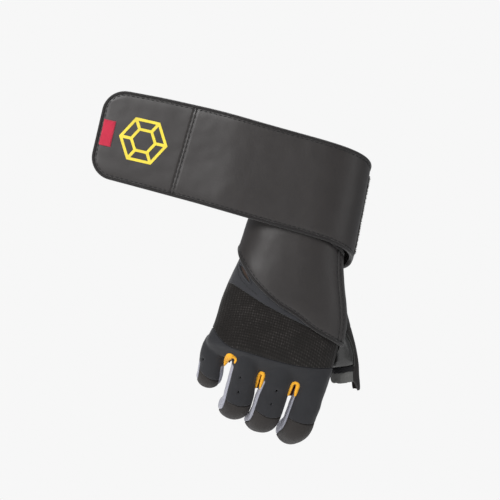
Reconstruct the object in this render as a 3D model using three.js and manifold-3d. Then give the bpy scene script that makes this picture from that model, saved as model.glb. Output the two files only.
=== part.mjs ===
// A right-hand weightlifting glove with a long wrist wrap, in the shape it has when worn.
// +Z runs up the hand towards the forearm, -Y is the side of the back of the hand and +X the thumb side.
// The origin is the middle of the wrist opening. Lengths are millimetres, angles degrees.
import * as THREE from 'three';
import { mergeVertices } from 'three/addons/utils/BufferGeometryUtils.js';
import Module from 'manifold-3d';

const wasm = await Module();
wasm.setup();

// Driving sizes of the hand part.
const palmLength = 88; // wrist middle to the webs between the fingers
const palmWidth = 92; // across the knuckles, outside the leather
const palmDepth = 36; // back to palm at the knuckles and wrist, outside the leather
const wall = 2; // thickness of the glove's walls
const gap = 0.3; // clearance that neighbouring pieces keep
const cuffHeight = 14; // how far the cuff reaches above the wrist middle
const palmCuffHeight = 9; // height of the elastic cuff piece on the palm side
const squareness = 2.3; // 2 is an ellipse, more is boxier
const sideSeamDepth = 2; // from the middle of the hand back to the seam along its sides

// Driving sizes of the fingers and thumb.
const fingerWidth = 21; // a middle finger, outside
const fingerHeight = 19.6;
const fingerLength = 49; // knuckle to the start of the middle joint's bend
const fingerTail = 12; // past the bend to the open end
const jointBend = 12; // radius of a finger's bend, at the middle of the finger
const thumbWidth = 21;
const thumbSlant = 4; // how much longer the thumb's outer side is
const sideSeam = 62; // angle from a finger's back to the seam of its side wall
const palmSeam = 126; // angle from a finger's back to the seam of the palm leather
const sideWallDrop = 1; // from the height of a web down to the side walls' ends
const capSetback = 1; // from the start of a finger's bend to the seam of its cap, on its back
const capRise = 5; // how far a cap's seam climbs from the finger's back to its sides
const capSweep = 1.3; // how fast it climbs
const knuckleOverlap = 6; // how far the knuckle panel reaches past the webs
const trimWidth = 4.4; // yellow web trim
const trimThickness = 2.6;
const trimLeg = 10;
const trimLean = 0.35; // how far the top of a trim leans out over the back of the hand

// Driving sizes of the wrap.
const strapWidth = 66;
const strapFree = 149.5; // from the front of the wrist to the rounded end
const strapThickness = 2;
const strapClearance = 0.6; // to the glove, and between turns
const bindingWidth = 3.4;
const bindingThickness = 0.6;
const bindingGap = 0.5; // between the strap's faces and the folded binding
const loopSlack = 8; // how much wider the second turn of the wrap is than the first
const loopTaper = 0.05; // how much narrower the second turn is at its upper edge, as a share of its width
const endRadius = 15;
const patchThickness = 1.2;
const patchInset = 5; // from the strap's edge to a hook or loop patch
const loopPatch = { from: 216, to: 352 }; // angles round the wrist
const hookPatchLength = 62;
const tagInset = 3; // from the strap's rounded end
const tagWidth = 8.5;
const tagHeight = 18;
const tagThickness = 0.6;
const emblemRadius = 17;
const emblemThickness = 0.4;
const emblemInset = 32.5; // from the strap's rounded end to the emblem's middle
const emblemRings = { outerIn: 0.87, innerOut: 0.56, innerIn: 0.43, spoke: 0.06 }; // shares of emblemRadius

// From the middle of the strap to the binding's face, and from the glove to the middle of each turn.
const bindingHalf = strapThickness / 2 + bindingGap + bindingThickness;
const strapStand = strapClearance + bindingHalf;
const turnStand = strapStand + strapThickness / 2 + strapStand;
const wristShare = { width: 0.7, middle: 0.027, depth: 1.2 }; // of palmWidth, palmWidth and palmDepth
const loopWidth = wristShare.width * palmWidth + 2 * strapStand + strapThickness + loopSlack;
const loopMiddle = wristShare.middle * palmWidth;
const loopDepth = wristShare.depth * palmDepth + 2 * turnStand;

// How finely the lofts are made.
const sides = { hand: 24, handHollow: 16, finger: 12, fingerHollow: 8, thumb: 10, thumbHollow: 8, strip: 8 };
const strapSteps = { turns: 28, free: 6, across: 3, round: 5 };
const bendSteps = 3;
const archSteps = 4;
const weldDistance = 0.001;

// Sections of the hand from the fingers up to the forearm. up is a share of palmLength, left, right and
// slant are shares of palmWidth, and back, palm and away of palmDepth. roll turns a section round the hand's
// length and slant lifts its little finger's side. The rows above the cuff are the arm inside the wrap.
const handRows = [
  { up: -0.975, left: -0.43, right: 0.485, back: 0.2, palm: 0.22, away: 0.22, roll: 10, slant: 0.08 },
  { up: -0.925, left: -0.455, right: 0.51, back: 0.33, palm: 0.34, away: 0.17, roll: 10, slant: 0.06 },
  { up: -0.85, left: -0.458, right: 0.516, back: 0.42, palm: 0.44, away: 0.08, roll: 9, slant: 0.03 },
  { up: -0.68, left: -0.43, right: 0.516, back: 0.47, palm: 0.54, away: 0.02, roll: 7, slant: 0.01 },
  { up: -0.47, left: -0.416, right: 0.5, back: 0.5, palm: 0.64, away: 0, roll: 5, slant: 0 },
  { up: -0.32, left: -0.39, right: 0.462, back: 0.52, palm: 0.67, away: 0, roll: 3, slant: 0 },
  { up: -0.14, left: -0.352, right: 0.405, back: 0.55, palm: 0.63, away: 0, roll: 1, slant: 0 },
  { up: 0, left: -0.33, right: 0.37, back: 0.57, palm: 0.6, away: 0, roll: 0, slant: 0 },
  { up: 0.18, left: -0.315, right: 0.355, back: 0.58, palm: 0.58, away: 0, roll: 0, slant: 0 },
  { up: 0.5, left: -0.27, right: 0.385, back: 0.6, palm: 0.6, away: 0, roll: 0, slant: 0 },
  { up: 0.95, left: -0.2, right: 0.43, back: 0.64, palm: 0.64, away: 0, roll: 0, slant: 0 },
];

// Fingers. across and up place the knuckle and away its depth, as shares of palmWidth, palmLength and
// palmDepth. lean tips a finger towards the thumb, roll turns its back towards the thumb, flex tips it to the
// palm and bend is the middle joint's. width, length and tail are shares of fingerWidth, fingerLength and
// fingerTail.
const fingers = {
  little: {
    across: -0.405, up: -0.79, away: 0.03, lean: 8, roll: 4, flex: 27, bend: 62,
    width: 0.86, length: 0.5, tail: 0.75,
  },
  ring: {
    across: -0.13, up: -0.74, away: -0.18, lean: 5, roll: 10, flex: 25, bend: 62,
    width: 0.95, length: 0.95, tail: 0.85,
  },
  middle: {
    across: 0.15, up: -0.75, away: -0.1, lean: 0, roll: 13, flex: 23, bend: 58,
    width: 1, length: 1, tail: 0.9,
  },
  index: {
    across: 0.41, up: -0.75, away: 0.07, lean: -2, roll: 13, flex: 21, bend: 50,
    width: 1.04, length: 1.02, tail: 1.1,
  },
};
const fingerSwell = [
  { share: 0, size: 0.66 },
  { share: 0.2, size: 0.96 },
  { share: 0.7, size: 1.02 },
  { share: 0.85, size: 1.03 },
  { share: 1, size: 0.96 },
];

// The thumb: a row for each section. across is a share of palmWidth, away of palmDepth, up of palmLength,
// width and height of thumbWidth.
const thumbRows = [
  { along: 0, across: 0.36, away: 0.3, up: -0.32, width: 1.06, height: 1.05 },
  { along: 0.35, across: 0.43, away: 0.47, up: -0.47, width: 1.1, height: 1.1 },
  { along: 0.65, across: 0.515, away: 0.6, up: -0.63, width: 1.08, height: 1.04 },
  { along: 0.88, across: 0.59, away: 0.7, up: -0.78, width: 1, height: 0.96 },
  { along: 1, across: 0.64, away: 0.76, up: -0.925, width: 0.94, height: 0.9 },
];
// Seams round the thumb: shares of its length, and angles from its back.
const thumbSeams = { leather: 0.5, hem: 0.84, lining: 0.89, back: 75, liningEdge: 60 };
const thumbFacing = [-0.1, -1, 0]; // where the thumb's back faces

// Seams across the back of the hand. across is a share of palmWidth, up of palmLength.
const knuckleSeam = [
  { across: -0.7, up: -0.6 },
  { across: -0.43, up: -0.73 },
  { across: -0.38, up: -0.782 },
  { across: -0.28, up: -0.84 },
  { across: -0.13, up: -0.855 },
  { across: 0.03, up: -0.867 },
  { across: 0.23, up: -0.872 },
  { across: 0.4, up: -0.855 },
  { across: 0.53, up: -0.82 },
  { across: 0.8, up: -0.75 },
];
const cuffSeam = [
  { across: -0.7, up: -0.33 },
  { across: -0.39, up: -0.355 },
  { across: -0.33, up: -0.37 },
  { across: -0.2, up: -0.42 },
  { across: -0.08, up: -0.464 },
  { across: 0.2, up: -0.54 },
  { across: 0.5, up: -0.6 },
  { across: 0.8, up: -0.62 },
];

// The wrap's first turn and loop, by the angle from the thumb side over the back of the hand.
// low and high are its edges as shares of strapWidth; loose is how far it has left the hand for its own loop.
const wrapRows = [
  { turn: 6, low: -0.9, high: 0.1, loose: 0 },
  { turn: 25, low: -0.87, high: 0.14, loose: 0 },
  { turn: 45, low: -0.825, high: 0.19, loose: 0 },
  { turn: 65, low: -0.755, high: 0.25, loose: 0 },
  { turn: 80, low: -0.67, high: 0.31, loose: 0 },
  { turn: 95, low: -0.585, high: 0.38, loose: 0 },
  { turn: 120, low: -0.42, high: 0.5, loose: 0 },
  { turn: 145, low: -0.26, high: 0.65, loose: 0 },
  { turn: 180, low: -0.11, high: 0.84, loose: 0 },
  { turn: 225, low: -0.09, high: 0.9, loose: 0.2 },
  { turn: 270, low: -0.11, high: 0.9, loose: 0.6 },
  { turn: 320, low: -0.09, high: 0.92, loose: 1 },
  { turn: 345, low: -0.03, high: 0.98, loose: 1 },
  { turn: 360, low: 0.045, high: 1.04, loose: 1 },
  { turn: 390, low: 0.12, high: 1.12, loose: 1 },
  { turn: 420, low: 0.17, high: 1.165, loose: 1 },
  { turn: 450, low: 0.195, high: 1.19, loose: 1 },
];
// The free end: reach is a share of strapFree, bow the set-back of its face as a share of strapFree.
const freeRows = [
  { reach: 0, low: 0.195, high: 1.19, bow: 0 },
  { reach: 0.25, low: 0.222, high: 1.215, bow: -0.005 },
  { reach: 0.47, low: 0.25, high: 1.24, bow: 0 },
  { reach: 0.7, low: 0.272, high: 1.24, bow: 0.03 },
  { reach: 1, low: 0.295, high: 1.215, bow: 0.1 },
];

// The webs between the fingers, each with the height of its web as a share of palmLength.
const webs = [
  { name: 'little_ring', one: fingers.little, other: fingers.ring, up: -0.962 },
  { name: 'ring_middle', one: fingers.ring, other: fingers.middle, up: -1 },
  { name: 'middle_index', one: fingers.middle, other: fingers.index, up: -1.01 },
];
const knuckleStart = 0.35; // where the knuckle panel takes in a finger's back, as a share of its length

// How far a cutter reaches past a wall's outer and inner faces, as shares of the wall.
const fingerCut = { over: 0.45, under: 1.6 };
const thumbCut = { over: 0.8, under: 1.8 };
const thumbPast = 1.1; // past the thumb's open end, as a share of its length
const slabReach = 0.75; // of a cutter across the hand, as a share of palmWidth

const radians = THREE.MathUtils.degToRad;
const clamp = THREE.MathUtils.clamp;
const vector = (x, y, z) => new THREE.Vector3(x, y, z);

// One column of a table as a smooth curve over another column, straight past both ends.
function column(rows, over, key, at) {
  const last = rows.length - 1;
  let i = 0;
  while (i < last - 1 && at > rows[i + 1][over]) i++;
  const slope = (k) => {
    const a = rows[Math.max(k - 1, 0)];
    const b = rows[Math.min(k + 1, last)];
    return (b[key] - a[key]) / (b[over] - a[over]);
  };
  const from = rows[i];
  const to = rows[i + 1];
  const width = to[over] - from[over];
  const t = (at - from[over]) / width;
  if (t < 0) return from[key] + slope(0) * (at - from[over]);
  if (t > 1) return to[key] + slope(last) * (at - to[over]);
  const t2 = t * t;
  const t3 = t2 * t;
  return (
    (2 * t3 - 3 * t2 + 1) * from[key] +
    (t3 - 2 * t2 + t) * width * slope(i) +
    (3 * t2 - 2 * t3) * to[key] +
    (t3 - t2) * width * slope(i + 1)
  );
}

// A point round the hand. turn is 0 at the thumb side, 90 on the back, 180 at the little finger's side.
function handPoint(height, turn, outset = 0) {
  const up = height / palmLength;
  const read = (key) => column(handRows, 'up', key, up);
  const middle = ((read('left') + read('right')) / 2) * palmWidth;
  const halfWidth = ((read('right') - read('left')) / 2) * palmWidth + outset;
  const across = Math.cos(radians(turn));
  const back = Math.sin(radians(turn));
  const depth = read(back > 0 ? 'back' : 'palm') * palmDepth + outset;
  const x = halfWidth * Math.sign(across) * Math.abs(across) ** (2 / squareness);
  const d = depth * Math.sign(back) * Math.abs(back) ** (2 / squareness);
  const roll = radians(read('roll'));
  return vector(
    middle + x * Math.cos(roll) + d * Math.sin(roll),
    read('away') * palmDepth + x * Math.sin(roll) - d * Math.cos(roll),
    height - (read('slant') * palmWidth * x) / halfWidth,
  );
}

// A closed solid from points and triangles, turned to face out.
function solid(points, triangles) {
  let volume = 0;
  for (const [a, b, c] of triangles) volume += points[a].dot(points[b].clone().cross(points[c]));
  const facing = volume < 0 ? triangles.map(([a, b, c]) => [a, c, b]) : triangles;
  return new wasm.Manifold(
    new wasm.Mesh({
      numProp: 3,
      vertProperties: new Float32Array(points.flatMap((p) => p.toArray())),
      triVerts: new Uint32Array(facing.flat()),
    }),
  );
}

// A solid through closed rings of points. faces splits a ring into triangles. Without it, the ends get a fan.
function ringSolid(rings, faces) {
  const count = rings[0].length;
  const last = (rings.length - 1) * count;
  const points = rings.flat();
  const triangles = [];
  for (let i = 0; i < rings.length - 1; i++) {
    for (let j = 0; j < count; j++) {
      const a = i * count + j;
      const b = i * count + ((j + 1) % count);
      triangles.push([a, b, b + count], [a, b + count, a + count]);
    }
  }
  if (faces) {
    for (const [a, b, c] of faces) triangles.push([a, c, b], [a + last, b + last, c + last]);
    return solid(points, triangles);
  }
  for (const start of [0, last]) {
    const ring = points.slice(start, start + count);
    const hub = points.push(ring.reduce((sum, p) => sum.add(p), vector(0, 0, 0)).divideScalar(count)) - 1;
    for (let j = 0; j < count; j++) {
      const pair = [start + j, start + ((j + 1) % count)];
      triangles.push(start === 0 ? [pair[1], pair[0], hub] : [pair[0], pair[1], hub]);
    }
  }
  return solid(points, triangles);
}

// A wall between two grids of points that match.
function wallSolid(outer, inner) {
  const rows = outer.length;
  const columns = outer[0].length;
  const points = [...outer.flat(), ...inner.flat()];
  const shift = rows * columns;
  const triangles = [];
  const quad = (a, b, c, d) => triangles.push([a, b, c], [a, c, d]);
  for (let i = 0; i < rows - 1; i++) {
    for (let j = 0; j < columns - 1; j++) {
      const a = i * columns + j;
      quad(a, a + 1, a + columns + 1, a + columns);
      quad(shift + a, shift + a + columns, shift + a + columns + 1, shift + a + 1);
    }
  }
  const rim = [];
  for (let j = 0; j < columns; j++) rim.push(j);
  for (let i = 1; i < rows; i++) rim.push(i * columns + columns - 1);
  for (let j = columns - 2; j >= 0; j--) rim.push((rows - 1) * columns + j);
  for (let i = rows - 2; i > 0; i--) rim.push(i * columns);
  rim.forEach((a, k) => {
    const b = rim[(k + 1) % rim.length];
    quad(a, shift + a, shift + b, b);
  });
  return solid(points, triangles);
}

const steps = (from, to, count) =>
  Array.from({ length: count + 1 }, (_, i) => from + ((to - from) * i) / count);

// The hand's body from one height to another, as a plain loft.
function handSolid(heights, outset, count) {
  return ringSolid(
    heights.map((height) =>
      Array.from({ length: count }, (_, i) => handPoint(height, (360 * i) / count, outset)),
    ),
  );
}

// A finger's middle line: straight from the knuckle, round the joint, straight to the open end.
function fingerFrame(finger, s) {
  const lean = radians(finger.lean);
  const roll = radians(finger.roll);
  const axis = vector(Math.sin(lean), 0, -Math.cos(lean));
  const curl = vector(-Math.sin(roll), Math.cos(roll), 0);
  curl.addScaledVector(axis, -curl.dot(axis)).normalize();
  const heading = (angle) =>
    axis.clone().multiplyScalar(Math.cos(angle)).addScaledVector(curl, Math.sin(angle));
  const flex = radians(finger.flex);
  const straight = finger.length * fingerLength;
  const turned = clamp((s - straight) / jointBend, 0, radians(finger.bend));
  const angle = flex + turned;
  const centre = vector(finger.across * palmWidth, finger.away * palmDepth, finger.up * palmLength);
  centre.addScaledVector(heading(flex), Math.min(s, straight));
  centre.addScaledVector(axis, jointBend * (Math.sin(angle) - Math.sin(flex)));
  centre.addScaledVector(curl, jointBend * (Math.cos(flex) - Math.cos(angle)));
  centre.addScaledVector(heading(angle), Math.max(s - straight - jointBend * radians(finger.bend), 0));
  const back = heading(angle + Math.PI / 2).negate();
  return { centre, back, side: curl.clone().negate().cross(axis) };
}

const fingerEnd = (finger) =>
  finger.length * fingerLength + jointBend * radians(finger.bend) + finger.tail * fingerTail;

// A point round a finger. turn is 0 on its back and grows towards the thumb side.
function fingerPoint(finger, s, turn, outset = 0) {
  const { centre, back, side } = fingerFrame(finger, s);
  const size = finger.width * column(fingerSwell, 'share', 'size', clamp(s / fingerEnd(finger), 0, 1));
  return centre
    .addScaledVector(side, ((size * fingerWidth) / 2 + outset) * Math.sin(radians(turn)))
    .addScaledVector(back, ((size * fingerHeight) / 2 + outset) * Math.cos(radians(turn)));
}

// Stations along a finger: few where it is straight, more round the bend.
function fingerStations(finger, first, last) {
  const straight = finger.length * fingerLength;
  const bent = straight + jointBend * radians(finger.bend);
  const between = steps(straight, bent, bendSteps).filter((s) => s > first + wall && s < last - wall);
  return [first, ...between, last];
}

function fingerSolid(finger, past, outset, count) {
  const stations = fingerStations(finger, 0, fingerEnd(finger) + past);
  return ringSolid(
    stations.map((s) =>
      Array.from({ length: count }, (_, i) => fingerPoint(finger, s, (360 * i) / count, outset)),
    ),
  );
}

// Angles between two seams, a little further apart by grow, for a tube of a given width.
function seamTurns(fromTurn, toTurn, grow, width, most) {
  const more = (360 * grow) / (Math.PI * width);
  return steps(fromTurn - more, toTurn + more, Math.ceil((toTurn - fromTurn) / most));
}

// A thick patch round a finger that cuts its pieces from the shell. start gives the first station by angle.
function fingerZone(finger, start, end, fromTurn, toTurn, grow) {
  const turns = seamTurns(fromTurn, toTurn, grow, finger.width * fingerHeight, 32);
  const rows = fingerStations(finger, start(0), end);
  const station = (i, turn) => {
    if (i === 0) return start(turn) - grow;
    return i === rows.length - 1 ? end + grow : rows[i];
  };
  const grid = (outset) =>
    turns.map((turn) => rows.map((_, i) => fingerPoint(finger, station(i, turn), turn, outset)));
  return wallSolid(grid(wall * fingerCut.over + grow), grid(-wall * fingerCut.under - grow));
}

// The thumb, lofted through its table.
const thumbRead = (key, share) => column(thumbRows, 'along', key, share);
const thumbMiddle = (share) =>
  vector(
    thumbRead('across', share) * palmWidth,
    thumbRead('away', share) * palmDepth,
    thumbRead('up', share) * palmLength,
  );
const thumbLength = thumbMiddle(0).distanceTo(thumbMiddle(1));

function thumbPoint(share, turn, outset = 0) {
  const step = 0.02;
  const heading = thumbMiddle(share + step).sub(thumbMiddle(share - step)).normalize();
  const back = vector(...thumbFacing);
  back.addScaledVector(heading, -back.dot(heading)).normalize();
  const side = back.clone().cross(heading);
  const across = Math.sin(radians(turn));
  const longer = clamp(share - thumbSeams.leather, 0, 1) * 2 * Math.max(across, 0);
  return thumbMiddle(share)
    .addScaledVector(side, ((thumbRead('width', share) * thumbWidth) / 2 + outset) * across)
    .addScaledVector(back, ((thumbRead('height', share) * thumbWidth) / 2 + outset) * Math.cos(radians(turn)))
    .addScaledVector(heading, longer * thumbSlant);
}

function thumbSolid(shares, outset, count) {
  return ringSolid(
    shares.map((share) =>
      Array.from({ length: count }, (_, i) => thumbPoint(share, (360 * i) / count, outset)),
    ),
  );
}

function thumbZone(from, to, fromTurn, toTurn, grow) {
  const turns = seamTurns(fromTurn, toTurn, grow, thumbWidth, 45);
  const longer = grow / thumbLength;
  const shares = steps(from - longer, to + longer, 2);
  const grid = (outset) => turns.map((turn) => shares.map((share) => thumbPoint(share, turn, outset)));
  return wallSolid(grid(wall * thumbCut.over + grow), grid(-wall * thumbCut.under - grow));
}

// A slab over the back of the hand between two outlines, from far in front to seam behind the hand's middle.
function backSlab(upper, lower, seam, grow) {
  const reach = slabReach * palmWidth;
  const face = (x, z) => {
    const roll = radians(column(handRows, 'up', 'roll', z / palmLength));
    const away = column(handRows, 'up', 'away', z / palmLength) * palmDepth;
    return away + x * Math.tan(roll) + seam + grow;
  };
  return ringSolid(
    steps(-reach, reach, 10).map((x) => {
      const top = upper(x) + grow;
      const bottom = lower(x) - grow;
      return [
        vector(x, -reach, top),
        vector(x, -reach, bottom),
        vector(x, face(x, bottom), bottom),
        vector(x, face(x, top), top),
      ];
    }),
  );
}

const seamHeight = (table) => (x) => column(table, 'across', 'up', x / palmWidth) * palmLength;

// A strip with rounded edges along a path. faces gives the outward direction at each point.
function stripSolid(path, faces, width, thickness) {
  const rings = path.map((point, i) => {
    const ahead = path[Math.min(i + 1, path.length - 1)];
    const behind = path[Math.max(i - 1, 0)];
    const tangent = ahead.clone().sub(behind).normalize();
    const face = faces[i].clone().addScaledVector(tangent, -faces[i].dot(tangent)).normalize();
    const side = tangent.clone().cross(face);
    return Array.from({ length: sides.strip }, (_, k) => {
      const angle = (2 * Math.PI * k) / sides.strip;
      return point
        .clone()
        .addScaledVector(side, (width / 2) * Math.cos(angle))
        .addScaledVector(face, (thickness / 2) * Math.sin(angle));
    });
  });
  return ringSolid(rings);
}

// The side walls of the fingers, each with the height it starts at. side is 1 towards the thumb.
const sideWalls = [
  { name: 'side_wall_little_outer', finger: fingers.little, side: -1, up: webs[0].up },
  ...webs.flatMap((web) => [
    { name: 'side_wall_' + web.name + '_a', finger: web.one, side: 1, up: web.up },
    { name: 'side_wall_' + web.name + '_b', finger: web.other, side: -1, up: web.up },
  ]),
];

// The edges of a finger's back pieces. They run past the side walls' cuts, which come first. The index finger
// has no side wall towards the thumb.
const overlapTurn = 25;
const backEdges = (name) => [-sideSeam - overlapTurn, name === 'index' ? palmSeam : sideSeam + overlapTurn];

// The station of a finger that lies at the height of a web.
function webStation(finger, up) {
  return ((finger.up - up) * palmLength) / (Math.cos(radians(finger.lean)) * Math.cos(radians(finger.flex)));
}

// A trim: a leg down the side of each finger, joined by a half circle over the web.
function trimSolid(web, grow) {
  const leg = ([finger, turn]) => {
    const start = webStation(finger, web.up);
    return steps(0, trimLeg + grow, 2).map((down) => {
      const point = fingerPoint(finger, start + down, turn);
      return { point, face: fingerPoint(finger, start + down, turn, 1).sub(point) };
    });
  };
  const one = leg([web.one, sideSeam]);
  const other = leg([web.other, -sideSeam]);
  const middle = one[0].point.clone().add(other[0].point).divideScalar(2);
  const across = other[0].point.clone().sub(one[0].point).divideScalar(2);
  const up = vector(0, -trimLean, 1).normalize().multiplyScalar(across.length());
  const arch = steps(0, 180, archSteps).slice(1, -1).map((angle) => {
    const turned = across.clone().multiplyScalar(-Math.cos(radians(angle)));
    const point = middle.clone().add(turned).addScaledVector(up, Math.sin(radians(angle)));
    return { point, face: one[0].face.clone().lerp(other[0].face, angle / 180) };
  });
  const keys = [...one.reverse(), ...arch, ...other];
  return stripSolid(
    keys.map((key) => key.point),
    keys.map((key) => key.face),
    trimWidth + 2 * grow,
    trimThickness + 2 * grow,
  );
}

const wrapStart = wrapRows[0].turn;
const wrapEnd = wrapRows.at(-1).turn;
const strapStop = wrapEnd + strapFree;

// A point of the wrap's middle surface. place is an angle up to wrapEnd, then wrapEnd plus the distance along
// the free end.
function strapPoint(place, height) {
  if (place > wrapEnd) {
    const reach = place - wrapEnd;
    const bow = column(freeRows, 'reach', 'bow', reach / strapFree) * strapFree;
    return vector(loopMiddle - reach, bow - loopDepth / 2, height);
  }
  const onHand = handPoint(height, place, strapStand);
  const across = Math.cos(radians(place));
  const back = Math.sin(radians(place));
  const narrowed = (loopWidth / 2) * (1 - (loopTaper * Math.max(height, 0)) / strapWidth);
  const onLoop = vector(
    loopMiddle + narrowed * Math.sign(across) * Math.abs(across) ** (2 / squareness),
    -(loopDepth / 2) * Math.sign(back) * Math.abs(back) ** (2 / squareness),
    height,
  );
  const loose = clamp(column(wrapRows, 'turn', 'loose', place), 0, 1);
  return onHand.lerp(onLoop, loose);
}

// The wrap's face direction, away from the wrist.
function strapFace(place, height) {
  const step = 1;
  const ahead = strapPoint(place + step, height).sub(strapPoint(place - step, height));
  const up = strapPoint(place, height + step).sub(strapPoint(place, height - step));
  return up.cross(ahead).normalize();
}

// How far one unit of place is along the wrap, in millimetres.
function placeLength(place, height) {
  return strapPoint(place + 1, height).distanceTo(strapPoint(place - 1, height)) / 2;
}

// The wrap's edge heights, rounded off at the free end and drawn in by inset, square to a slanting edge.
function strapEdges(place, inset = 0) {
  if (place > wrapEnd) {
    const left = wrapEnd + strapFree - inset - place;
    const radius = endRadius - inset;
    const round = left < radius ? radius - Math.sqrt(Math.max(radius ** 2 - (radius - left) ** 2, 0)) : 0;
    const reach = (place - wrapEnd) / strapFree;
    return {
      low: column(freeRows, 'reach', 'low', reach) * strapWidth + inset + round,
      high: column(freeRows, 'reach', 'high', reach) * strapWidth - inset - round,
    };
  }
  const edge = (key) => {
    const height = (at) => column(wrapRows, 'turn', key, at) * strapWidth;
    const slope = (height(place + 1) - height(place - 1)) / 2 / placeLength(place, height(place));
    return { height: height(place), stretch: Math.hypot(1, slope) };
  };
  const low = edge('low');
  const high = edge('high');
  return { low: low.height + inset * low.stretch, high: high.height - inset * high.stretch };
}

// Stations along the wrap between two places, closer together round the rounded end.
function strapPlaces(from, to, inset = 0) {
  const bends = steps(wrapStart, wrapEnd, strapSteps.turns);
  const straight = steps(wrapEnd, strapStop - endRadius, strapSteps.free).slice(1, -1);
  const between = [...bends, ...straight].filter((place) => place > from + 2 && place < to - 2);
  const places = [from, ...between];
  if (to > strapStop - endRadius) {
    const radius = endRadius - inset;
    const end = strapStop - inset;
    for (const angle of steps(0, 90, strapSteps.round)) {
      places.push(end - radius * (1 - Math.sin(radians(angle))));
    }
  } else {
    places.push(to);
  }
  return places;
}

// A layer of the wrap between two places, from one offset of its middle surface to another.
function strapLayer(from, to, inset, lower, upper) {
  const places = strapPlaces(from, to, inset);
  const grid = (offset) =>
    places.map((place) => {
      const { low, high } = strapEdges(place, inset);
      return steps(low, high, strapSteps.across).map((height) =>
        strapPoint(place, height).addScaledVector(strapFace(place, height), offset),
      );
    });
  return wallSolid(grid(upper), grid(lower));
}

// The wrap's edge binding: a folded tape whose section wraps the strap's edge.
function bindingSolid() {
  const places = strapPlaces(wrapStart, strapStop);
  const { low, high } = strapEdges(strapStop);
  const path = [
    ...places.map((place) => ({ place, height: strapEdges(place).low, edge: 'low' })),
    ...steps(low, high, strapSteps.round).slice(1, -1).map((height) => ({ place: strapStop, height })),
    ...places.reverse().map((place) => ({ place, height: strapEdges(place).high, edge: 'high' })),
  ];
  const inner = strapThickness / 2 + bindingGap;
  const section = [
    [bindingWidth, inner],
    [bindingWidth, bindingHalf],
    [0, bindingHalf],
    [0, -bindingHalf],
    [bindingWidth, -bindingHalf],
    [bindingWidth, -inner],
    [bindingThickness, -inner],
    [bindingThickness, inner],
  ];
  const outline = section.map(([depth, offset]) => new THREE.Vector2(depth, offset));
  const inward = ({ place, height, edge }, i, depth) => {
    if (place <= wrapEnd) return [place, strapEdges(place, depth)[edge]];
    const ahead = path[Math.min(i + 1, path.length - 1)];
    const behind = path[i - 1];
    const along = ahead.place - behind.place;
    const rise = ahead.height - behind.height;
    const length = Math.hypot(along, rise);
    return [place - (rise / length) * depth, height + (along / length) * depth];
  };
  return ringSolid(
    path.map((point, i) =>
      section.map(([depth, offset]) => {
        const [place, height] = inward(point, i, depth);
        return strapPoint(place, height).addScaledVector(strapFace(place, height), offset);
      }),
    ),
    THREE.ShapeUtils.triangulateShape(outline, []),
  );
}

// A flat outline bent onto the face of the free end, offset from the strap's middle.
function strapPlate(shape, place, height, lower, upper) {
  const { shape: outline, holes } = shape.extractPoints(1);
  if (THREE.ShapeUtils.isClockWise(outline)) outline.reverse();
  for (const hole of holes) {
    if (!THREE.ShapeUtils.isClockWise(hole)) hole.reverse();
  }
  const faces = THREE.ShapeUtils.triangulateShape(outline, holes);
  const flat = [outline, ...holes].flat();
  const layer = (offset) =>
    flat.map((p) =>
      strapPoint(place - p.x, height + p.y).addScaledVector(strapFace(place - p.x, height + p.y), offset),
    );
  const points = [...layer(upper), ...layer(lower)];
  const shift = flat.length;
  const triangles = faces.map((f) => [...f]);
  for (const [a, b, c] of faces) triangles.push([a + shift, c + shift, b + shift]);
  let start = 0;
  for (const loop of [outline, ...holes]) {
    loop.forEach((_, i) => {
      const a = start + i;
      const b = start + ((i + 1) % loop.length);
      triangles.push([a, b + shift, b], [a, a + shift, b + shift]);
    });
    start += loop.length;
  }
  return solid(points, triangles);
}

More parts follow.
